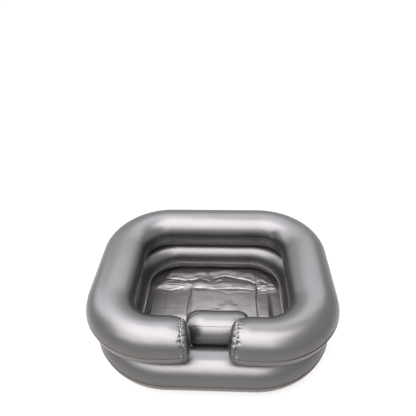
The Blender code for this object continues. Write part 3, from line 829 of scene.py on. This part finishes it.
def domed_end(name, side, spokes=240, rings=30):
    """The disc of one arm's end, from its middle to the lip."""
    centre, section_out, into_gap = end_frame(side)
    profile = []
    for step in range(1, rings):
        angle = pi / 2 * (step / rings) ** 0.9
        profile.append((end_bore * sin(angle), dome_rise * cos(angle), 0.0))
    profile.append((end_bore, 0.0, 0.4))
    for share in (0.35, 0.7, 1.0):
        profile.append((end_bore + weld_lip * rim_lip_share * end_share * share, 0.0, 1.0))
    start = centre + into_gap * clearance
    points, welds = [start + into_gap * dome_rise], [0.0]
    for radius, height, weld_share in profile:
        near_rim = float(np.clip((radius - (end_bore - gathered_reach)) / gathered_reach, 0, 1)) ** 1.5
        for turn in np.linspace(0, 2 * pi, spokes, endpoint=False):
            reach = radius - (1 - 0.8 * disc_ridge(turn)) * disc_fold_depth * near_rim * (1 - weld_share)
            wave = rim_wave(turn) * rim_wave_depth * (near_rim if height else 1.0) * off_seam(turn)
            level = height * (1 - 0.10 * near_rim * rim_pleat(turn)) + wave
            points.append(start + reach * (section_out * cos(turn) + up * sin(turn)) + into_gap * level)
            welds.append(disc_weld * weld_share)
    faces = [(0, 1 + k, 1 + (k + 1) % spokes) for k in range(spokes)]
    for first in range(1, (len(profile) - 1) * spokes, spokes):
        for k in range(spokes):
            after = (k + 1) % spokes
            faces.append((first + k, first + spokes + k, first + spokes + after, first + after))
    return built(name, points, faces, silver_film, welds, (0, into_gap))


for side, node in ((1, "upper_ring_right_end"), (-1, "upper_ring_left_end")):
    padded_film(domed_end(node + "_dome", side), node)

# %% [markdown]
# ## The neck pillow
#
# The pillow is a small air cushion of two films, welded all round. It is full in the middle and pinched flat
# at its ends, where the film gathers into sharp crumples. It lies in the groove between the rings, so the
# front film is pressed flat on the lower ring. A cushion of air this tight has no cloth-like sag, so the
# crown and the crumples are shaped directly.

# %% Neck pillow
# pillow_weld is how much pale weld and painted seam highlight the pillow's lip gets.
body_share, pillow_weld = 0.40, 0.12


def pillow_place(along, turn, height, side):
    """One point of the pillow's film, along from -1 to 1 and turn from 0 to pi, with its crumples."""
    sign = 1 if along >= 0 else -1
    share = max(0.0, (abs(along) - body_share) / (1 - body_share))
    across = pillow_half_width * (1 - 0.36 * share**1.8) * cos(turn)
    rise = height * max(0.0, 1 - share**4.5) ** 0.45 * sin(turn)
    rise = min(rise, height * cos(pillow_band)) if side < 0 else rise
    folds = noise.noise(Vector((across * 190 + 3.0 * sign, along * 2.2, 5.0 * side)))
    folds += 0.6 * noise.noise(Vector((across * 420, along * 5.0 + 9.0, 2.0 * side)))
    gather = ease(np.array(share), 0.20, 0.90) * max(0.0, sin(turn)) ** 0.5
    rise -= 0.0034 * float(gather) * max(0.0, 0.25 + folds)
    hems = exp(-((sin(turn) / 0.28) ** 2)) * (1 - exp(-((sin(turn) / 0.05) ** 2)))
    rise -= 0.0004 * hems * max(0.0, noise.noise(Vector((along * 24, across * 30, 3.0 * side))) + 0.2)
    return sign * pillow_length / 2 * abs(along), across, max(rise, 0.0)


def pillow_film(name, height, side, columns=150, rows=66):
    """One film of the pillow with its weld lip: a grid whose outermost lines are the lip."""
    placing = Matrix.Translation(pillow_centre) @ Matrix.Rotation(-(pi / 2 - band_turn), 4, "X")
    runs = np.sin(np.linspace(-pi / 2, pi / 2, columns))
    turns = np.linspace(0, pi, rows)
    points, welds = [], []
    for outside, run in [(True, -1.0)] + [(False, run) for run in runs] + [(True, 1.0)]:
        for index in range(rows + 2):
            x, across, rise = pillow_place(run, turns[min(max(index - 1, 0), rows - 1)], height, side)
            lip = index in (0, rows + 1)
            across += copysign(weld_lip, across) if lip else 0.0
            x += copysign(weld_lip, run) if outside else 0.0
            level = side * ((0.0 if lip or outside else rise) + clearance / 2)
            points.append(placing @ Vector((x, across, level)))
            welds.append(pillow_weld if lip or outside else 0.0)
    line = rows + 2
    corners = [row * line + k for row in range(columns + 1) for k in range(rows + 1)]
    faces = [(c, c + 1, c + 1 + line, c + line) for c in corners]
    return built(name, points, faces, silver_film, welds, (len(faces) // 2, seat_normal * side))


pillow_back = pillow_film("neck_pillow_back_skin", pillow_rise, 1)
seat_film(pillow_back.data, valve_seats["pillow_valve"], flat_radius=0.0115, blend_radius=0.024)
pillow_front = pillow_film("neck_pillow_front_skin", pillow_drop, -1)
padded_film(pillow_back, "neck_pillow_back_film")
padded_film(pillow_front, "neck_pillow_front_film")

# %% [markdown]
# ## The floor sheet
#
# The floor is one loose sheet between the rings and the ground. Nothing stretches it, so it keeps the creases
# of its folding: long wavy ones across the back, straight ones from front to back and small bundles near
# the corners. The sheet is a fine grid, cut to the ring's plan. Its panels lie at slightly different heights,
# and each fold is a slope that climbs behind a line on the floor, with a narrow hollow along the line. Under
# the ring the sheet stays flat, and it is lifted at the drain.

# %% Folds of the floor sheet, in millimetres: the line, then the fold's rise, climb, fall and dip
drain_place = np.array([0.042, 0.0])
drain_lift, drain_hole, sheet_wall, sheet_reach = 0.0105, 0.0113, 0.0005, weld_band / 2
folds = (
    ([(-170, 134), (-138, 130), (-120, 128), (-94, 123), (-66, 123), (-44, 132), (-29, 123), (-15, 117),
      (-2, 129), (29, 136), (58, 132), (97, 125), (121, 112), (150, 104)], 4.4, 26, 20, 1.8),
    ([(-68, 95), (-44, 91), (-17, 86), (3, 83), (30, 87), (55, 88), (85, 86), (123, 85)], 2.4, 21, 12, 1.5),
    ([(-44, 85), (-8, 77), (22, 75), (41, 67), (68, 71), (120, 76)], 0.62, 7, 12, 0.2),
    ([(-61, 126), (-38, 122), (-21, 111), (-4, 104), (13, 114), (27, 118)], 1.25, 7, 8, 0.6),
    ([(-157, 124), (-121, 127), (-89, 119), (-66, 106)], 0.78, 4.5, 5, 0.6),
    ([(-160, 104), (-128, 117), (-99, 111), (-66, 101)], 0.78, 4.5, 5, 0.6),
    ([(-161, 97), (-127, 106), (-93, 103), (-67, 98)], 0.62, 4, 4, 0.5),
    ([(-158, 86), (-135, 82), (-111, 88), (-89, 96)], 0.7, 4, 5, 0.5),
    ([(121, 102), (137, 102), (154, 100)], 0.78, 4, 4, 0.5),
    ([(124, 91), (137, 95), (154, 103), (179, 103)], 1.01, 4, 4, 0.6),
    ([(125, 80), (142, 87), (161, 82)], 0.94, 4, 3, 0.6),
    ([(146, 88), (167, 93), (193, 92)], 0.94, 4, 4, 0.5),
    ([(163, 78), (188, 87)], 0.7, 4, 3, 0.3),
    ([(128, 71), (141, 76), (157, 75)], 0.7, 4, 3, 0.5),
    ([(121, 114), (141, 124), (160, 107), (179, 112)], 0.94, 4, 5, 0.6),
    ([(-66.5, -70), (-66.5, 7), (-66.5, 48), (-67.5, 85), (-71, 108)], 0, 2, 2, 1.8),
    ([(-1, 68), (-1, 38), (-3, 5)], 0, 3, 3, 0.3),
    ([(123.5, 78), (123, 40), (123.5, -70)], 0, 3, 3, 0.9),
    ([(163, 77), (163, 41), (160, -50)], 0, 5, 5, 0.3),
    ([(-152, 80), (-146, 40), (-134, -50)], 0, 3, 3, 0.6),
    ([(-116, 78), (-110, 30), (-101, -50)], 0, 3, 3, 0.3),
    ([(-180, 52), (-130, 50), (-78, 52)], 0, 3, 3, 0.3),
    ([(-176, 18), (-130, 15), (-79, 18)], 0, 3, 3, 0.3),
)
print("folds", len(folds))


def smooth_line(line, steps=6):
    """The same line with rounded bends."""
    padded = np.concatenate([[2 * line[0] - line[1]], line, [2 * line[-1] - line[-2]]])
    made = []
    for a, b, c, d in zip(padded, padded[1:], padded[2:], padded[3:]):
        for t in np.linspace(0, 1, steps, endpoint=False):
            curl = (2 * a - 5 * b + 4 * c - d) * t**2 + (3 * b - a - 3 * c + d) * t**3
            made.append(0.5 * (2 * b + (c - a) * t + curl))
    return np.array(made + [line[-1]])


def fold_height(spots, line, rise, climb, fall, dip):
    """Height of one fold: a hollow before its line, a slope that climbs behind it and a longer fall."""
    line = smooth_line(line)
    lengths = np.linalg.norm(np.diff(line, axis=0), axis=1)
    starts = np.concatenate([[0], np.cumsum(lengths)])
    nearest = np.full(len(spots), 9.0)
    behind, where = nearest.copy(), np.zeros(len(spots))
    for k, length in enumerate(lengths):
        step = (line[k + 1] - line[k]) / length
        offset = spots - line[k]
        run = np.clip(offset @ step, 0, length)
        gap = np.linalg.norm(offset - np.outer(run, step), axis=1)
        closer = gap < nearest
        nearest = np.where(closer, gap, nearest)
        behind = np.where(closer, gap * np.sign(step[0] * offset[:, 1] - step[1] * offset[:, 0]), behind)
        where = np.where(closer, (starts[k] + run) / starts[-1], where)
    fade = ease(where, 0, 0.10) * (1 - ease(where, 0.90, 1))
    slope = ease(behind, 0, climb) * np.exp(-np.maximum(behind - climb, 0) / fall)
    hollow = np.where(behind < 0, 0.0022 + rise, 0.0022)
    return fade * (rise * slope - dip * np.exp(-((nearest / hollow) ** 2)))


def higher(first, second, soft=0.001):
    """The higher of two surfaces, with a soft change between them."""
    return (first + second + np.sqrt((first - second) ** 2 + soft**2) - soft) / 2


def plan_distance(spots):
    """How far spots lie outside the lower ring's centreline, negative inside it."""
    away = np.abs(spots) - (np.array(lower.half) - lower.corner)
    return np.linalg.norm(np.maximum(away, 0), axis=1) + np.minimum(away.max(axis=1), 0) - lower.corner


def wander(spots, scale, seed):
    """Smooth random numbers between about -1 and 1 over the floor."""
    return np.array([noise.noise(Vector((x * scale[0], y * scale[1], seed))) for x, y in spots])


def panel_height(x, y, from_drain):
    """The sheet's broad form: the drain's mound, the raised panels between the long creases and the back."""
    mound = drain_lift * (1 - ease(from_drain, 0.026, 0.084))
    back = 0.0065 * ease(y, 0.080, 0.108)
    middle = 0.0050 + 0.0052 * ease(x, -0.070, 0.005) - 0.0018 * ease(x, 0.075, 0.120)
    middle *= ease(x, -0.0715, -0.0665) * (1 - ease(x, 0.1205, 0.1280))
    ramp_width = 0.0022 + 0.0062 * (1 - ease(y, -0.03, 0.085))
    ramp = 0.0054 * np.exp(-np.maximum(-0.0715 - x, 0) / ramp_width) * (1 - ease(x, -0.0705, -0.0665))
    strip = 0.0024 + 0.085 * np.clip(0.078 - y, 0, 0.090)
    strip *= ease(x, 0.119, 0.125) * (1 - ease(x, 0.152, 0.170))
    left = 0.0006 + 0.022 * (x + 0.180) + 0.100 * np.clip(0.080 - y, 0, 0.100)
    left *= 1 - ease(x, -0.0750, -0.0710)
    panels = ease(y, -0.088, -0.015) * higher(higher(middle, left), higher(ramp, strip))
    return higher(higher(mound, back), panels)


def sheet_height(spots):
    """Height of the sheet's underside: its broad form, its folds and the room that the tube leaves."""
    warp = np.zeros(spots.shape)
    for scale, seed, reach in ((26, 1.0, 0.0035), (80, 3.0, 0.0012)):
        warp += np.stack([wander(spots, (scale, scale), seed + k) for k in (0, 1)], axis=1) * reach
    loose = ease(spots[:, 1], 0.060, 0.100)
    moved = spots + warp * (0.35 + 0.65 * loose)[:, None]
    from_drain = np.linalg.norm(spots - drain_place, axis=1)
    height = panel_height(*moved.T, from_drain)
    for line, *sizes in folds:
        height += fold_height(moved, np.array(line) / 1000, *(size / 1000 for size in sizes))
    crumple = 1 - 2.2 * np.abs(wander(spots, (20, 40), 5.0))
    height += 0.0010 * crumple * loose + 0.0006 * wander(spots, (30, 34), 6.0)
    height += 0.00016 * (1 - 2 * np.abs(wander(spots, (110, 110), 7.0))) * (0.4 + loose)
    around = np.arctan2(spots[:, 1] - drain_place[1], spots[:, 0] - drain_place[0])
    ruffle = np.sin(9 * around + 2 * np.sin(2 * around)) + 0.5 * np.sin(17 * around + 1)
    height += 0.0004 * ruffle * np.exp(-(((from_drain - 0.030) / 0.008) ** 2))
    height = drain_lift + (height - drain_lift) * ease(from_drain, 0.0215, 0.034)
    under_tube, x = plan_distance(spots), moved[:, 0]
    rim = under_tube + 0.022 + 0.027 * ease(x, 0.12, 0.18)
    rim += 0.038 * ease(-x, 0.10, 0.165)
    height *= 0.05 + 0.60 * np.exp(-np.maximum(rim, 0) / 0.015) + 0.35 * ease(-rim, 0, 0.004)
    away = np.clip(np.abs(under_tube) / lower.side_share, 0, lower.bore + film)
    room = lower.height - np.sqrt((lower.bore + film) ** 2 - away**2) - 0.0017
    room = np.where(under_tube > -0.0125, 0, np.maximum(room, 0))
    height = np.maximum(height, 0)
    return height + room - higher(height, room, 0.0015)


# %% Make the floor sheet
def fine_steps(limit, low, high, fine, coarse):
    """Grid lines from -limit to limit that lie closer together between low and high."""
    inner = np.linspace(low, high, int((high - low) / fine) + 1)
    before = np.linspace(-limit, low, int((low + limit) / coarse) + 1)[:-1]
    after = np.linspace(high, limit, int((limit - high) / coarse) + 1)[1:]
    return np.concatenate([before, inner, after])


def pulled_edge(edge, tiny=0.00001):
    """Places on the cut nearest to the grid's edge: on the ring's plan, or on the drain's hole."""
    away = edge - drain_place
    drain_gap = np.linalg.norm(away, axis=1)
    slope = np.stack([plan_distance(edge + step) - plan_distance(edge - step)
                      for step in (np.array([tiny, 0]), np.array([0, tiny]))], axis=1)
    slope /= np.maximum(np.linalg.norm(slope, axis=1), tiny * tiny)[:, None]
    onto_ring = edge - slope * (plan_distance(edge) - sheet_reach)[:, None]
    onto_drain = drain_place + away / drain_gap[:, None] * drain_hole
    return np.where((drain_gap < 2 * drain_hole)[:, None], onto_drain, onto_ring)


def floor_sheet(fine=0.0021, coarse=0.0045):
    """A grid cut to the ring's plan and the drain's hole, with its edges pulled onto the cut."""
    xs = fine_steps(lower.half[0] + sheet_reach, -0.205, 0.205, fine, coarse)
    ys = fine_steps(lower.half[1] + sheet_reach, -0.060, 0.182, fine * 0.85, coarse)
    spots = np.array([(x, y) for x in xs for y in ys])
    kept = plan_distance(spots) - sheet_reach < coarse * 0.5
    kept &= np.linalg.norm(spots - drain_place, axis=1) > drain_hole - fine * 0.4
    rows = len(ys)
    starts = [i * rows + j for i in range(len(xs) - 1) for j in range(rows - 1)]
    faces = [(c, c + rows, c + rows + 1, c + 1) for c in starts]
    faces = [face for face in faces if all(kept[c] for c in face)]
    used = sorted({c for face in faces for c in face})
    renumber = {c: k for k, c in enumerate(used)}
    faces = [tuple(renumber[c] for c in face) for face in faces]
    spots = spots[used]
    shared = {}
    for face in faces:
        for pair in zip(face, face[1:] + face[:1]):
            key = tuple(sorted(pair))
            shared[key] = shared.get(key, 0) + 1
    edge = sorted({v for pair, n in shared.items() if n == 1 for v in pair})
    spots[edge] = pulled_edge(spots[edge])
    table = np.concatenate([spots, sheet_height(spots)[:, None]], axis=1)
    return built("basin_floor_sheet", table, faces, floor_film)


basin_sheet = floor_sheet()
cut_size = 2 * (np.array(lower.half) + sheet_reach)
plan_area = cut_size.prod() - (4 - pi) * (lower.corner + sheet_reach) ** 2 - pi * drain_hole**2
sheet_area = sum(face.area for face in basin_sheet.data.polygons)
slack = sheet_area / plan_area
cut_size *= sqrt(slack)
with_wall(basin_sheet, sheet_wall)
hand_over(basin_sheet, "basin", "basin_floor", slot="floor_sheet")
print("sheet area", round(sheet_area, 4), "slack in percent", round(100 * (slack - 1), 1))

# %% [markdown]
# ## Fittings
#
# The valves and the drain are small turned mouldings. Each is an outline of radius and height that is turned
# about its own axis. The corners of a moulding are never sharp, so the outline's corners are rounded first.
# A strap or a flap is a flat plate instead, cut from its outline and bevelled.


# %% Turned mouldings and plates
def soften(outline, radius, closed):
    """The outline with small round corners."""
    made = []
    for index, corner in enumerate(outline):
        here, before, after = (np.array(outline[k % len(outline)]) for k in (index, index - 1, index + 1))
        if not closed and index in (0, len(outline) - 1):
            made.append(tuple(corner))
            continue
        cut = min(radius, 0.45 * np.linalg.norm(before - here), 0.45 * np.linalg.norm(after - here))
        start = here + (before - here) / np.linalg.norm(before - here) * cut
        stop = here + (after - here) / np.linalg.norm(after - here) * cut
        for t in (0, 1 / 3, 2 / 3, 1):
            made.append(tuple((1 - t) ** 2 * start + 2 * t * (1 - t) * here + t**2 * stop))
    return made


def moulding(name, working, placing):
    """A soft plastic piece from its working mesh, moved to its place."""
    mesh = bpy.data.meshes.new(name)
    working.to_mesh(mesh)
    working.free()
    mesh.transform(placing)
    shade(mesh, 50)
    return add(name, mesh, soft_plastic)


def turned(name, outline, placing, steps=48, closed=True, corner=0.00025):
    """A solid of revolution in place, with its faces outwards."""
    working = bmesh.new()
    rows = []
    for r, z in soften(outline, corner, closed):
        if r < 1e-7:
            rows.append([working.verts.new((0, 0, z))] * steps)
        else:
            turns = [2 * pi * k / steps for k in range(steps)]
            rows.append([working.verts.new((r * cos(turn), r * sin(turn), z)) for turn in turns])
    for first, second in zip(rows, rows[1:] + rows[:1] if closed else rows[1:]):
        for k in range(steps):
            after = (k + 1) % steps
            corners = list(dict.fromkeys((first[k], first[after], second[after], second[k])))
            if len(corners) > 2:
                working.faces.new(corners)
    bmesh.ops.recalc_face_normals(working, faces=working.faces[:])
    return moulding(name, working, placing)


def plate(name, outline, thickness, placing):
    """A flat soft piece of the given outline, centred on its own plane, with rounded edges."""
    working = bmesh.new()
    face = working.faces.new([working.verts.new((x, y, -thickness / 2)) for x, y in outline])
    made = bmesh.ops.extrude_face_region(working, geom=[face])["geom"]
    raised = [g for g in made if isinstance(g, bmesh.types.BMVert)]
    bmesh.ops.translate(working, verts=raised, vec=(0, 0, thickness))
    bmesh.ops.recalc_face_normals(working, faces=working.faces[:])
    rims = list({e for f in working.faces if len(f.verts) > 4 for e in f.edges})
    bmesh.ops.bevel(working, geom=rims, offset=thickness * 0.22, segments=2, profile=0.5, affect="EDGES")
    return moulding(name, working, placing)


def strap(name, line, thickness, width, placing):
    """A strap that follows a line, given as seen from the strap's edge."""
    line = np.array(line)
    steps = np.gradient(line, axis=0)
    steps /= np.linalg.norm(steps, axis=1)[:, None]
    normal = np.stack([-steps[:, 1], steps[:, 0]], axis=1) * thickness / 2
    outline = [tuple(p) for p in np.concatenate([line + normal, (line - normal)[::-1]])]
    return plate(name, outline, width, placing @ Matrix.Rotation(pi / 2, 4, "X"))


def half_turn(middle, level, radius, steps):
    """The bend of a strap between its two straight runs. A negative radius bends below the level."""
    turns = np.linspace(0, pi, steps)[1:-1]
    return [(middle - abs(radius) * cos(turn), level + radius * sin(turn)) for turn in turns]


def bridge(item, node, bodies, end):
    """A soft piece that stands for its node and stays in place on no body; the bodies are only printed. The
    end is not used.
    """
    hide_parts(node)
    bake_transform(item)
    print(item.name, "faces", len(item.data.polygons), "between", *bodies)


# %% [markdown]
# A push-in valve has a flange that is welded under the film, a soft well, a stem that is blown into, a plug
# on a strap and a flap that keeps the air in. At rest the stem is pushed in, so that only the plug's head
# shows, level with the film. The well follows the stem when it is pulled out, and the strap follows the
# plug; here these two soft pieces are made at rest and ride on no body.

# %% Valve sizes and levels
flange_radius, flange_hole, flange_wall = 0.0110, 0.0075, 0.0008
well_depth, well_wall = 0.0120, 0.0005
stem_radius, stem_bore = 0.0040, 0.0026
shoulder_radius, shoulder_wall = 0.0055, 0.0008
head_radius, head_wall, head_recess = 0.0050, 0.0012, 0.0002
shaft_length, shaft_chamfer = 0.0070, 0.0006
flap_radius, flap_wall, tab_half, tab_reach = 0.0035, 0.0006, 0.0015, 0.0052
hollow_radius, hollow_rim, hollow_depth = 0.0030, 0.0034, 0.0003
valve_strap_wall, valve_strap_width, strap_start, strap_low = 0.0005, 0.0030, -0.0022, -0.0090
strap_rooted, strap_carried = 0.0085, 0.0015
well_bottom = -well_depth - well_wall
shoulder_top = well_bottom - clearance
stem_low = shoulder_top - shoulder_wall
under_head = -head_recess - head_wall
stem_top = under_head - clearance
head_hollow = -head_recess - hollow_depth
shaft = stem_bore - clearance
shaft_tip = under_head - shaft_length
flange_level = -film - clearance


# %% Make the valves
def valve_strap_line():
    """The strap's middle line beside the stem: down, round and up to the plug's head."""
    near = stem_radius + clearance + valve_strap_wall / 2
    far = head_radius + clearance + valve_strap_wall / 2
    radius = (far - near) / 2
    level = strap_low + valve_strap_wall / 2 + radius
    down = [(near, z) for z in np.linspace(strap_start, level, 8)]
    back_up = [(far, z) for z in np.linspace(level, -head_recess - head_wall * 0.25, 9)]
    return down + half_turn((near + far) / 2, level, -radius, 7) + back_up


def flap_outline():
    """A round flap with a tab towards its hinge."""
    begin = asin(tab_half / flap_radius)
    turns = np.linspace(begin, 2 * pi - begin, 30)
    return [(0, -tab_half), (0, tab_half)] + [
        (flap_radius * cos(turn) - tab_reach, flap_radius * sin(turn)) for turn in turns]


def well_outline():
    """The soft cup round the stem: its outside, its inside and its bottom with the stem's hole."""
    outer = flange_hole - clearance
    inner, hole = outer - well_wall, stem_radius + clearance
    outside = [(outer, z) for z in np.linspace(well_bottom, flange_level, 9)]
    inside = [(inner, z) for z in np.linspace(flange_level, -well_depth, 9)]
    return outside + inside + [(hole + 0.001, -well_depth), (hole, -well_depth), (hole, well_bottom)]


def make_valve(name, seat):
    """The six pieces of one valve: four ride on their own bodies, and the well and the strap stay on none."""
    axes = np.column_stack([(1, 0, 0), np.cross(seat_normal, (1, 0, 0)), seat_normal])
    placing = Matrix.Translation(seat) @ Matrix(axes.tolist()).to_4x4()
    tube, stopper, rise, foot = name + "_tube", name + "_stopper", Vector(seat_normal), Vector(seat)
    flange_low = flange_level - flange_wall
    flange = turned(name + "_flange_ring", [
        (flange_hole, flange_level), (flange_radius, flange_level), (flange_radius, flange_low),
        (flange_hole, flange_low)], placing)
    hand_over(flange, "basin", name + "_flange")
    well = turned(name + "_well_cup", well_outline(), placing, corner=0.0001)
    bridge(well, name + "_well", ("basin", tube), foot - rise * well_depth)
    stem = turned(name + "_stem_tube", [
        (stem_bore, stem_top), (stem_radius, stem_top), (stem_radius, shoulder_top),
        (shoulder_radius, shoulder_top), (shoulder_radius, stem_low), (stem_bore, stem_low)], placing)
    hand_over(stem, tube, name + "_stem")
    plug = turned(name + "_plug_cap", [
        (0, head_hollow), (hollow_radius, head_hollow), (hollow_rim, -head_recess),
        (head_radius, -head_recess), (head_radius, under_head), (shaft, under_head),
        (shaft, shaft_tip + shaft_chamfer), (shaft - shaft_chamfer, shaft_tip), (0, shaft_tip)],
        placing, closed=False)
    hand_over(plug, stopper, name + "_plug")
    band = strap(name + "_strap_band", valve_strap_line(), valve_strap_wall, valve_strap_width, placing)
    bridge(band, name + "_strap", (tube, stopper), foot - rise * strap_carried)
    hinge = Matrix.Translation((tab_reach, 0, stem_low - clearance - flap_wall / 2))
    flap = plate(name + "_flap_disc", flap_outline(), flap_wall, placing @ hinge)
    hand_over(flap, name + "_check", name + "_check_flap")


for label, seat in valve_seats.items():
    make_valve(label, seat)

# %% [markdown]
# ## The drain
#
# A soft flange is welded on the floor sheet. Under it is the outlet cup with the tail that a hose is pushed
# on, and a stopper with a knob plugs it from above. A loop of strap keeps the stopper. The welding ring of
# the flange has short ribs, which a Geometry Nodes tree sets round it.

# %% The drain's flange
drain_seat = Matrix.Translation((*drain_place, 0))
flange_under = drain_lift + sheet_wall + clearance
flange_top = flange_under + 0.0012
welding_ring = flange_top - 0.0004
collar, collar_low, bore_radius = 0.0110, drain_lift - 0.0030, 0.0095
seat_edge, ring_inner, ring_outer, flange_edge, edge_wall = 0.0140, 0.0146, 0.0194, 0.0200, 0.0003
flange = turned("drain_flange_ring", [
    (bore_radius, flange_top), (seat_edge, flange_top), (ring_inner, welding_ring),
    (ring_outer, welding_ring), (flange_edge, flange_under + edge_wall), (flange_edge, flange_under),
    (collar, flange_under), (collar, collar_low), (bore_radius, collar_low)], drain_seat, steps=72)
hand_over(flange, "basin", "drain_flange")


def rib_tree():
    """Sets short ribs evenly round a circle."""
    inputs = {"Circle": "Geometry", "Count": "Int", "Finish": "Material"}
    inputs.update(dict.fromkeys(("Radius", "Level", "Length", "Width", "Rise"), "Float"))
    tree, given, result = new_tree("weld_ribs", "GeometryNodeTree", inputs, {"Ribs": "Geometry"})
    circle = put(tree, "GeometryNodeMeshCircle", {"Vertices": given["Count"], "Radius": given["Radius"]})
    size = vector(tree, given["Length"], given["Width"], given["Rise"])
    rib = put(tree, "GeometryNodeMeshCube", {"Size": size}, "Mesh")
    spot = put(tree, "GeometryNodeInputPosition")
    turn = put(tree, "FunctionNodeAlignRotationToVector", {"Vector": spot}, axis="X")
    shape = put(tree, "GeometryNodeInstanceOnPoints", {"Points": circle, "Instance": rib, "Rotation": turn})
    raised = vector(tree, 0.0, 0.0, given["Level"])
    for kind, feeds in (("RealizeInstances", {}), ("SetPosition", {"Offset": raised}),
                        ("SetMaterial", {"Material": given["Finish"]})):
        shape = put(tree, "GeometryNode" + kind, {"Geometry": shape, **feeds})
    join(shape, result["Ribs"])
    return tree


ribs = grown("drain_flange_ribs", bpy.data.meshes.new("empty"), rib_tree(), {
    "Count": 60, "Radius": 0.0170, "Level": welding_ring, "Length": 0.0036, "Width": 0.0007,
    "Rise": 0.0004, "Finish": soft_plastic})
ribs.data.transform(drain_seat)
hand_over(ribs, "basin")

# %% The drain's outlet and stopper
cup_inner, cup_wall = collar + clearance, 0.0012
cup_outer, cup_top, cup_floor = cup_inner + cup_wall, drain_lift - clearance, clearance + cup_wall
cup = turned("drain_outlet_cup", [
    (0, cup_floor), (cup_inner, cup_floor), (cup_inner, cup_top), (cup_outer, cup_top),
    (cup_outer, clearance), (0, clearance)], drain_seat, steps=72, closed=False)
tail_bore, tail_neck, tail_radius = 0.0025, 0.0033, 0.00375
tail_level = max(cup_floor + tail_bore, clearance + tail_radius)
tail_place = drain_seat @ Matrix.Translation((0, 0, tail_level)) @ Matrix.Rotation(-pi / 2, 4, "X")
tail_root, tail_collar, first_barb, barb_pitch, tail_end = 0.0124, 0.0150, 0.0155, 0.0027, 0.0240
barbs = [(tail_bore, tail_root), (tail_radius, tail_root), (tail_radius, tail_collar)]
for step in range(3):
    start = first_barb + barb_pitch * step
    barbs += [(tail_neck, start), (tail_radius, start + 0.0004), (tail_neck, start + 0.0024)]
barbs += [(tail_neck, tail_end), (tail_bore, tail_end)]
tail = turned("drain_outlet_tail", barbs, tail_place, steps=40, corner=0.0001)
tail.parent = cup
hand_over(cup, "basin", "drain_outlet")

under = flange_top + clearance
head_top = under + 0.0020
knob_low, knob_top = head_top + 0.0030, head_top + 0.0048
cap_radius, plug_radius, knob_radius, knob_neck, plug_tip = 0.0130, 0.0092, 0.0045, 0.0030, under - 0.0050
plug = turned("drain_plug_stopper", [
    (0, knob_top), (knob_radius, knob_top), (knob_radius, knob_low), (knob_neck, knob_low),
    (knob_neck, head_top), (cap_radius - 0.0012, head_top), (cap_radius, head_top - 0.0006),
    (cap_radius, under), (plug_radius, under), (plug_radius, plug_tip + 0.0008),
    (plug_radius - 0.0008, plug_tip), (0, plug_tip)],
    drain_seat, steps=72, closed=False, corner=0.0004)
hand_over(plug, "drain_stopper", "drain_plug")

# %% The drain's strap
loop_radius, loop_wall, loop_width, loop_half, loop_rise = 0.0019, 0.0008, 0.0040, 0.0023, 0.0050
loop_middle = cap_radius + clearance + loop_half
loop_level = under + loop_rise - loop_half
loop = [(loop_middle - loop_radius, z) for z in np.linspace(under, loop_level, 4)]
loop += half_turn(loop_middle, loop_level, loop_radius, 11)
loop += [(loop_middle + loop_radius, z) for z in np.linspace(loop_level, under, 4)]
towards_front = Matrix.Rotation(-pi / 2, 4, "Z")
drain_strap = strap("drain_strap_loop", loop, loop_wall, loop_width, drain_seat @ towards_front)
far, near = (drain_seat @ Vector((0, -(loop_middle + side * loop_radius), 0)) for side in (1, -1))
bridge(drain_strap, "drain_plug_strap", ("basin", "drain_stopper"), near)

# %% Compare the boxes and finish
low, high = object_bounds()
for label, *ends in zip("xyz", cad_low, cad_high, low, high):
    print(label, "in mm, CAD and visual", np.round(1000 * np.array(ends), 1))
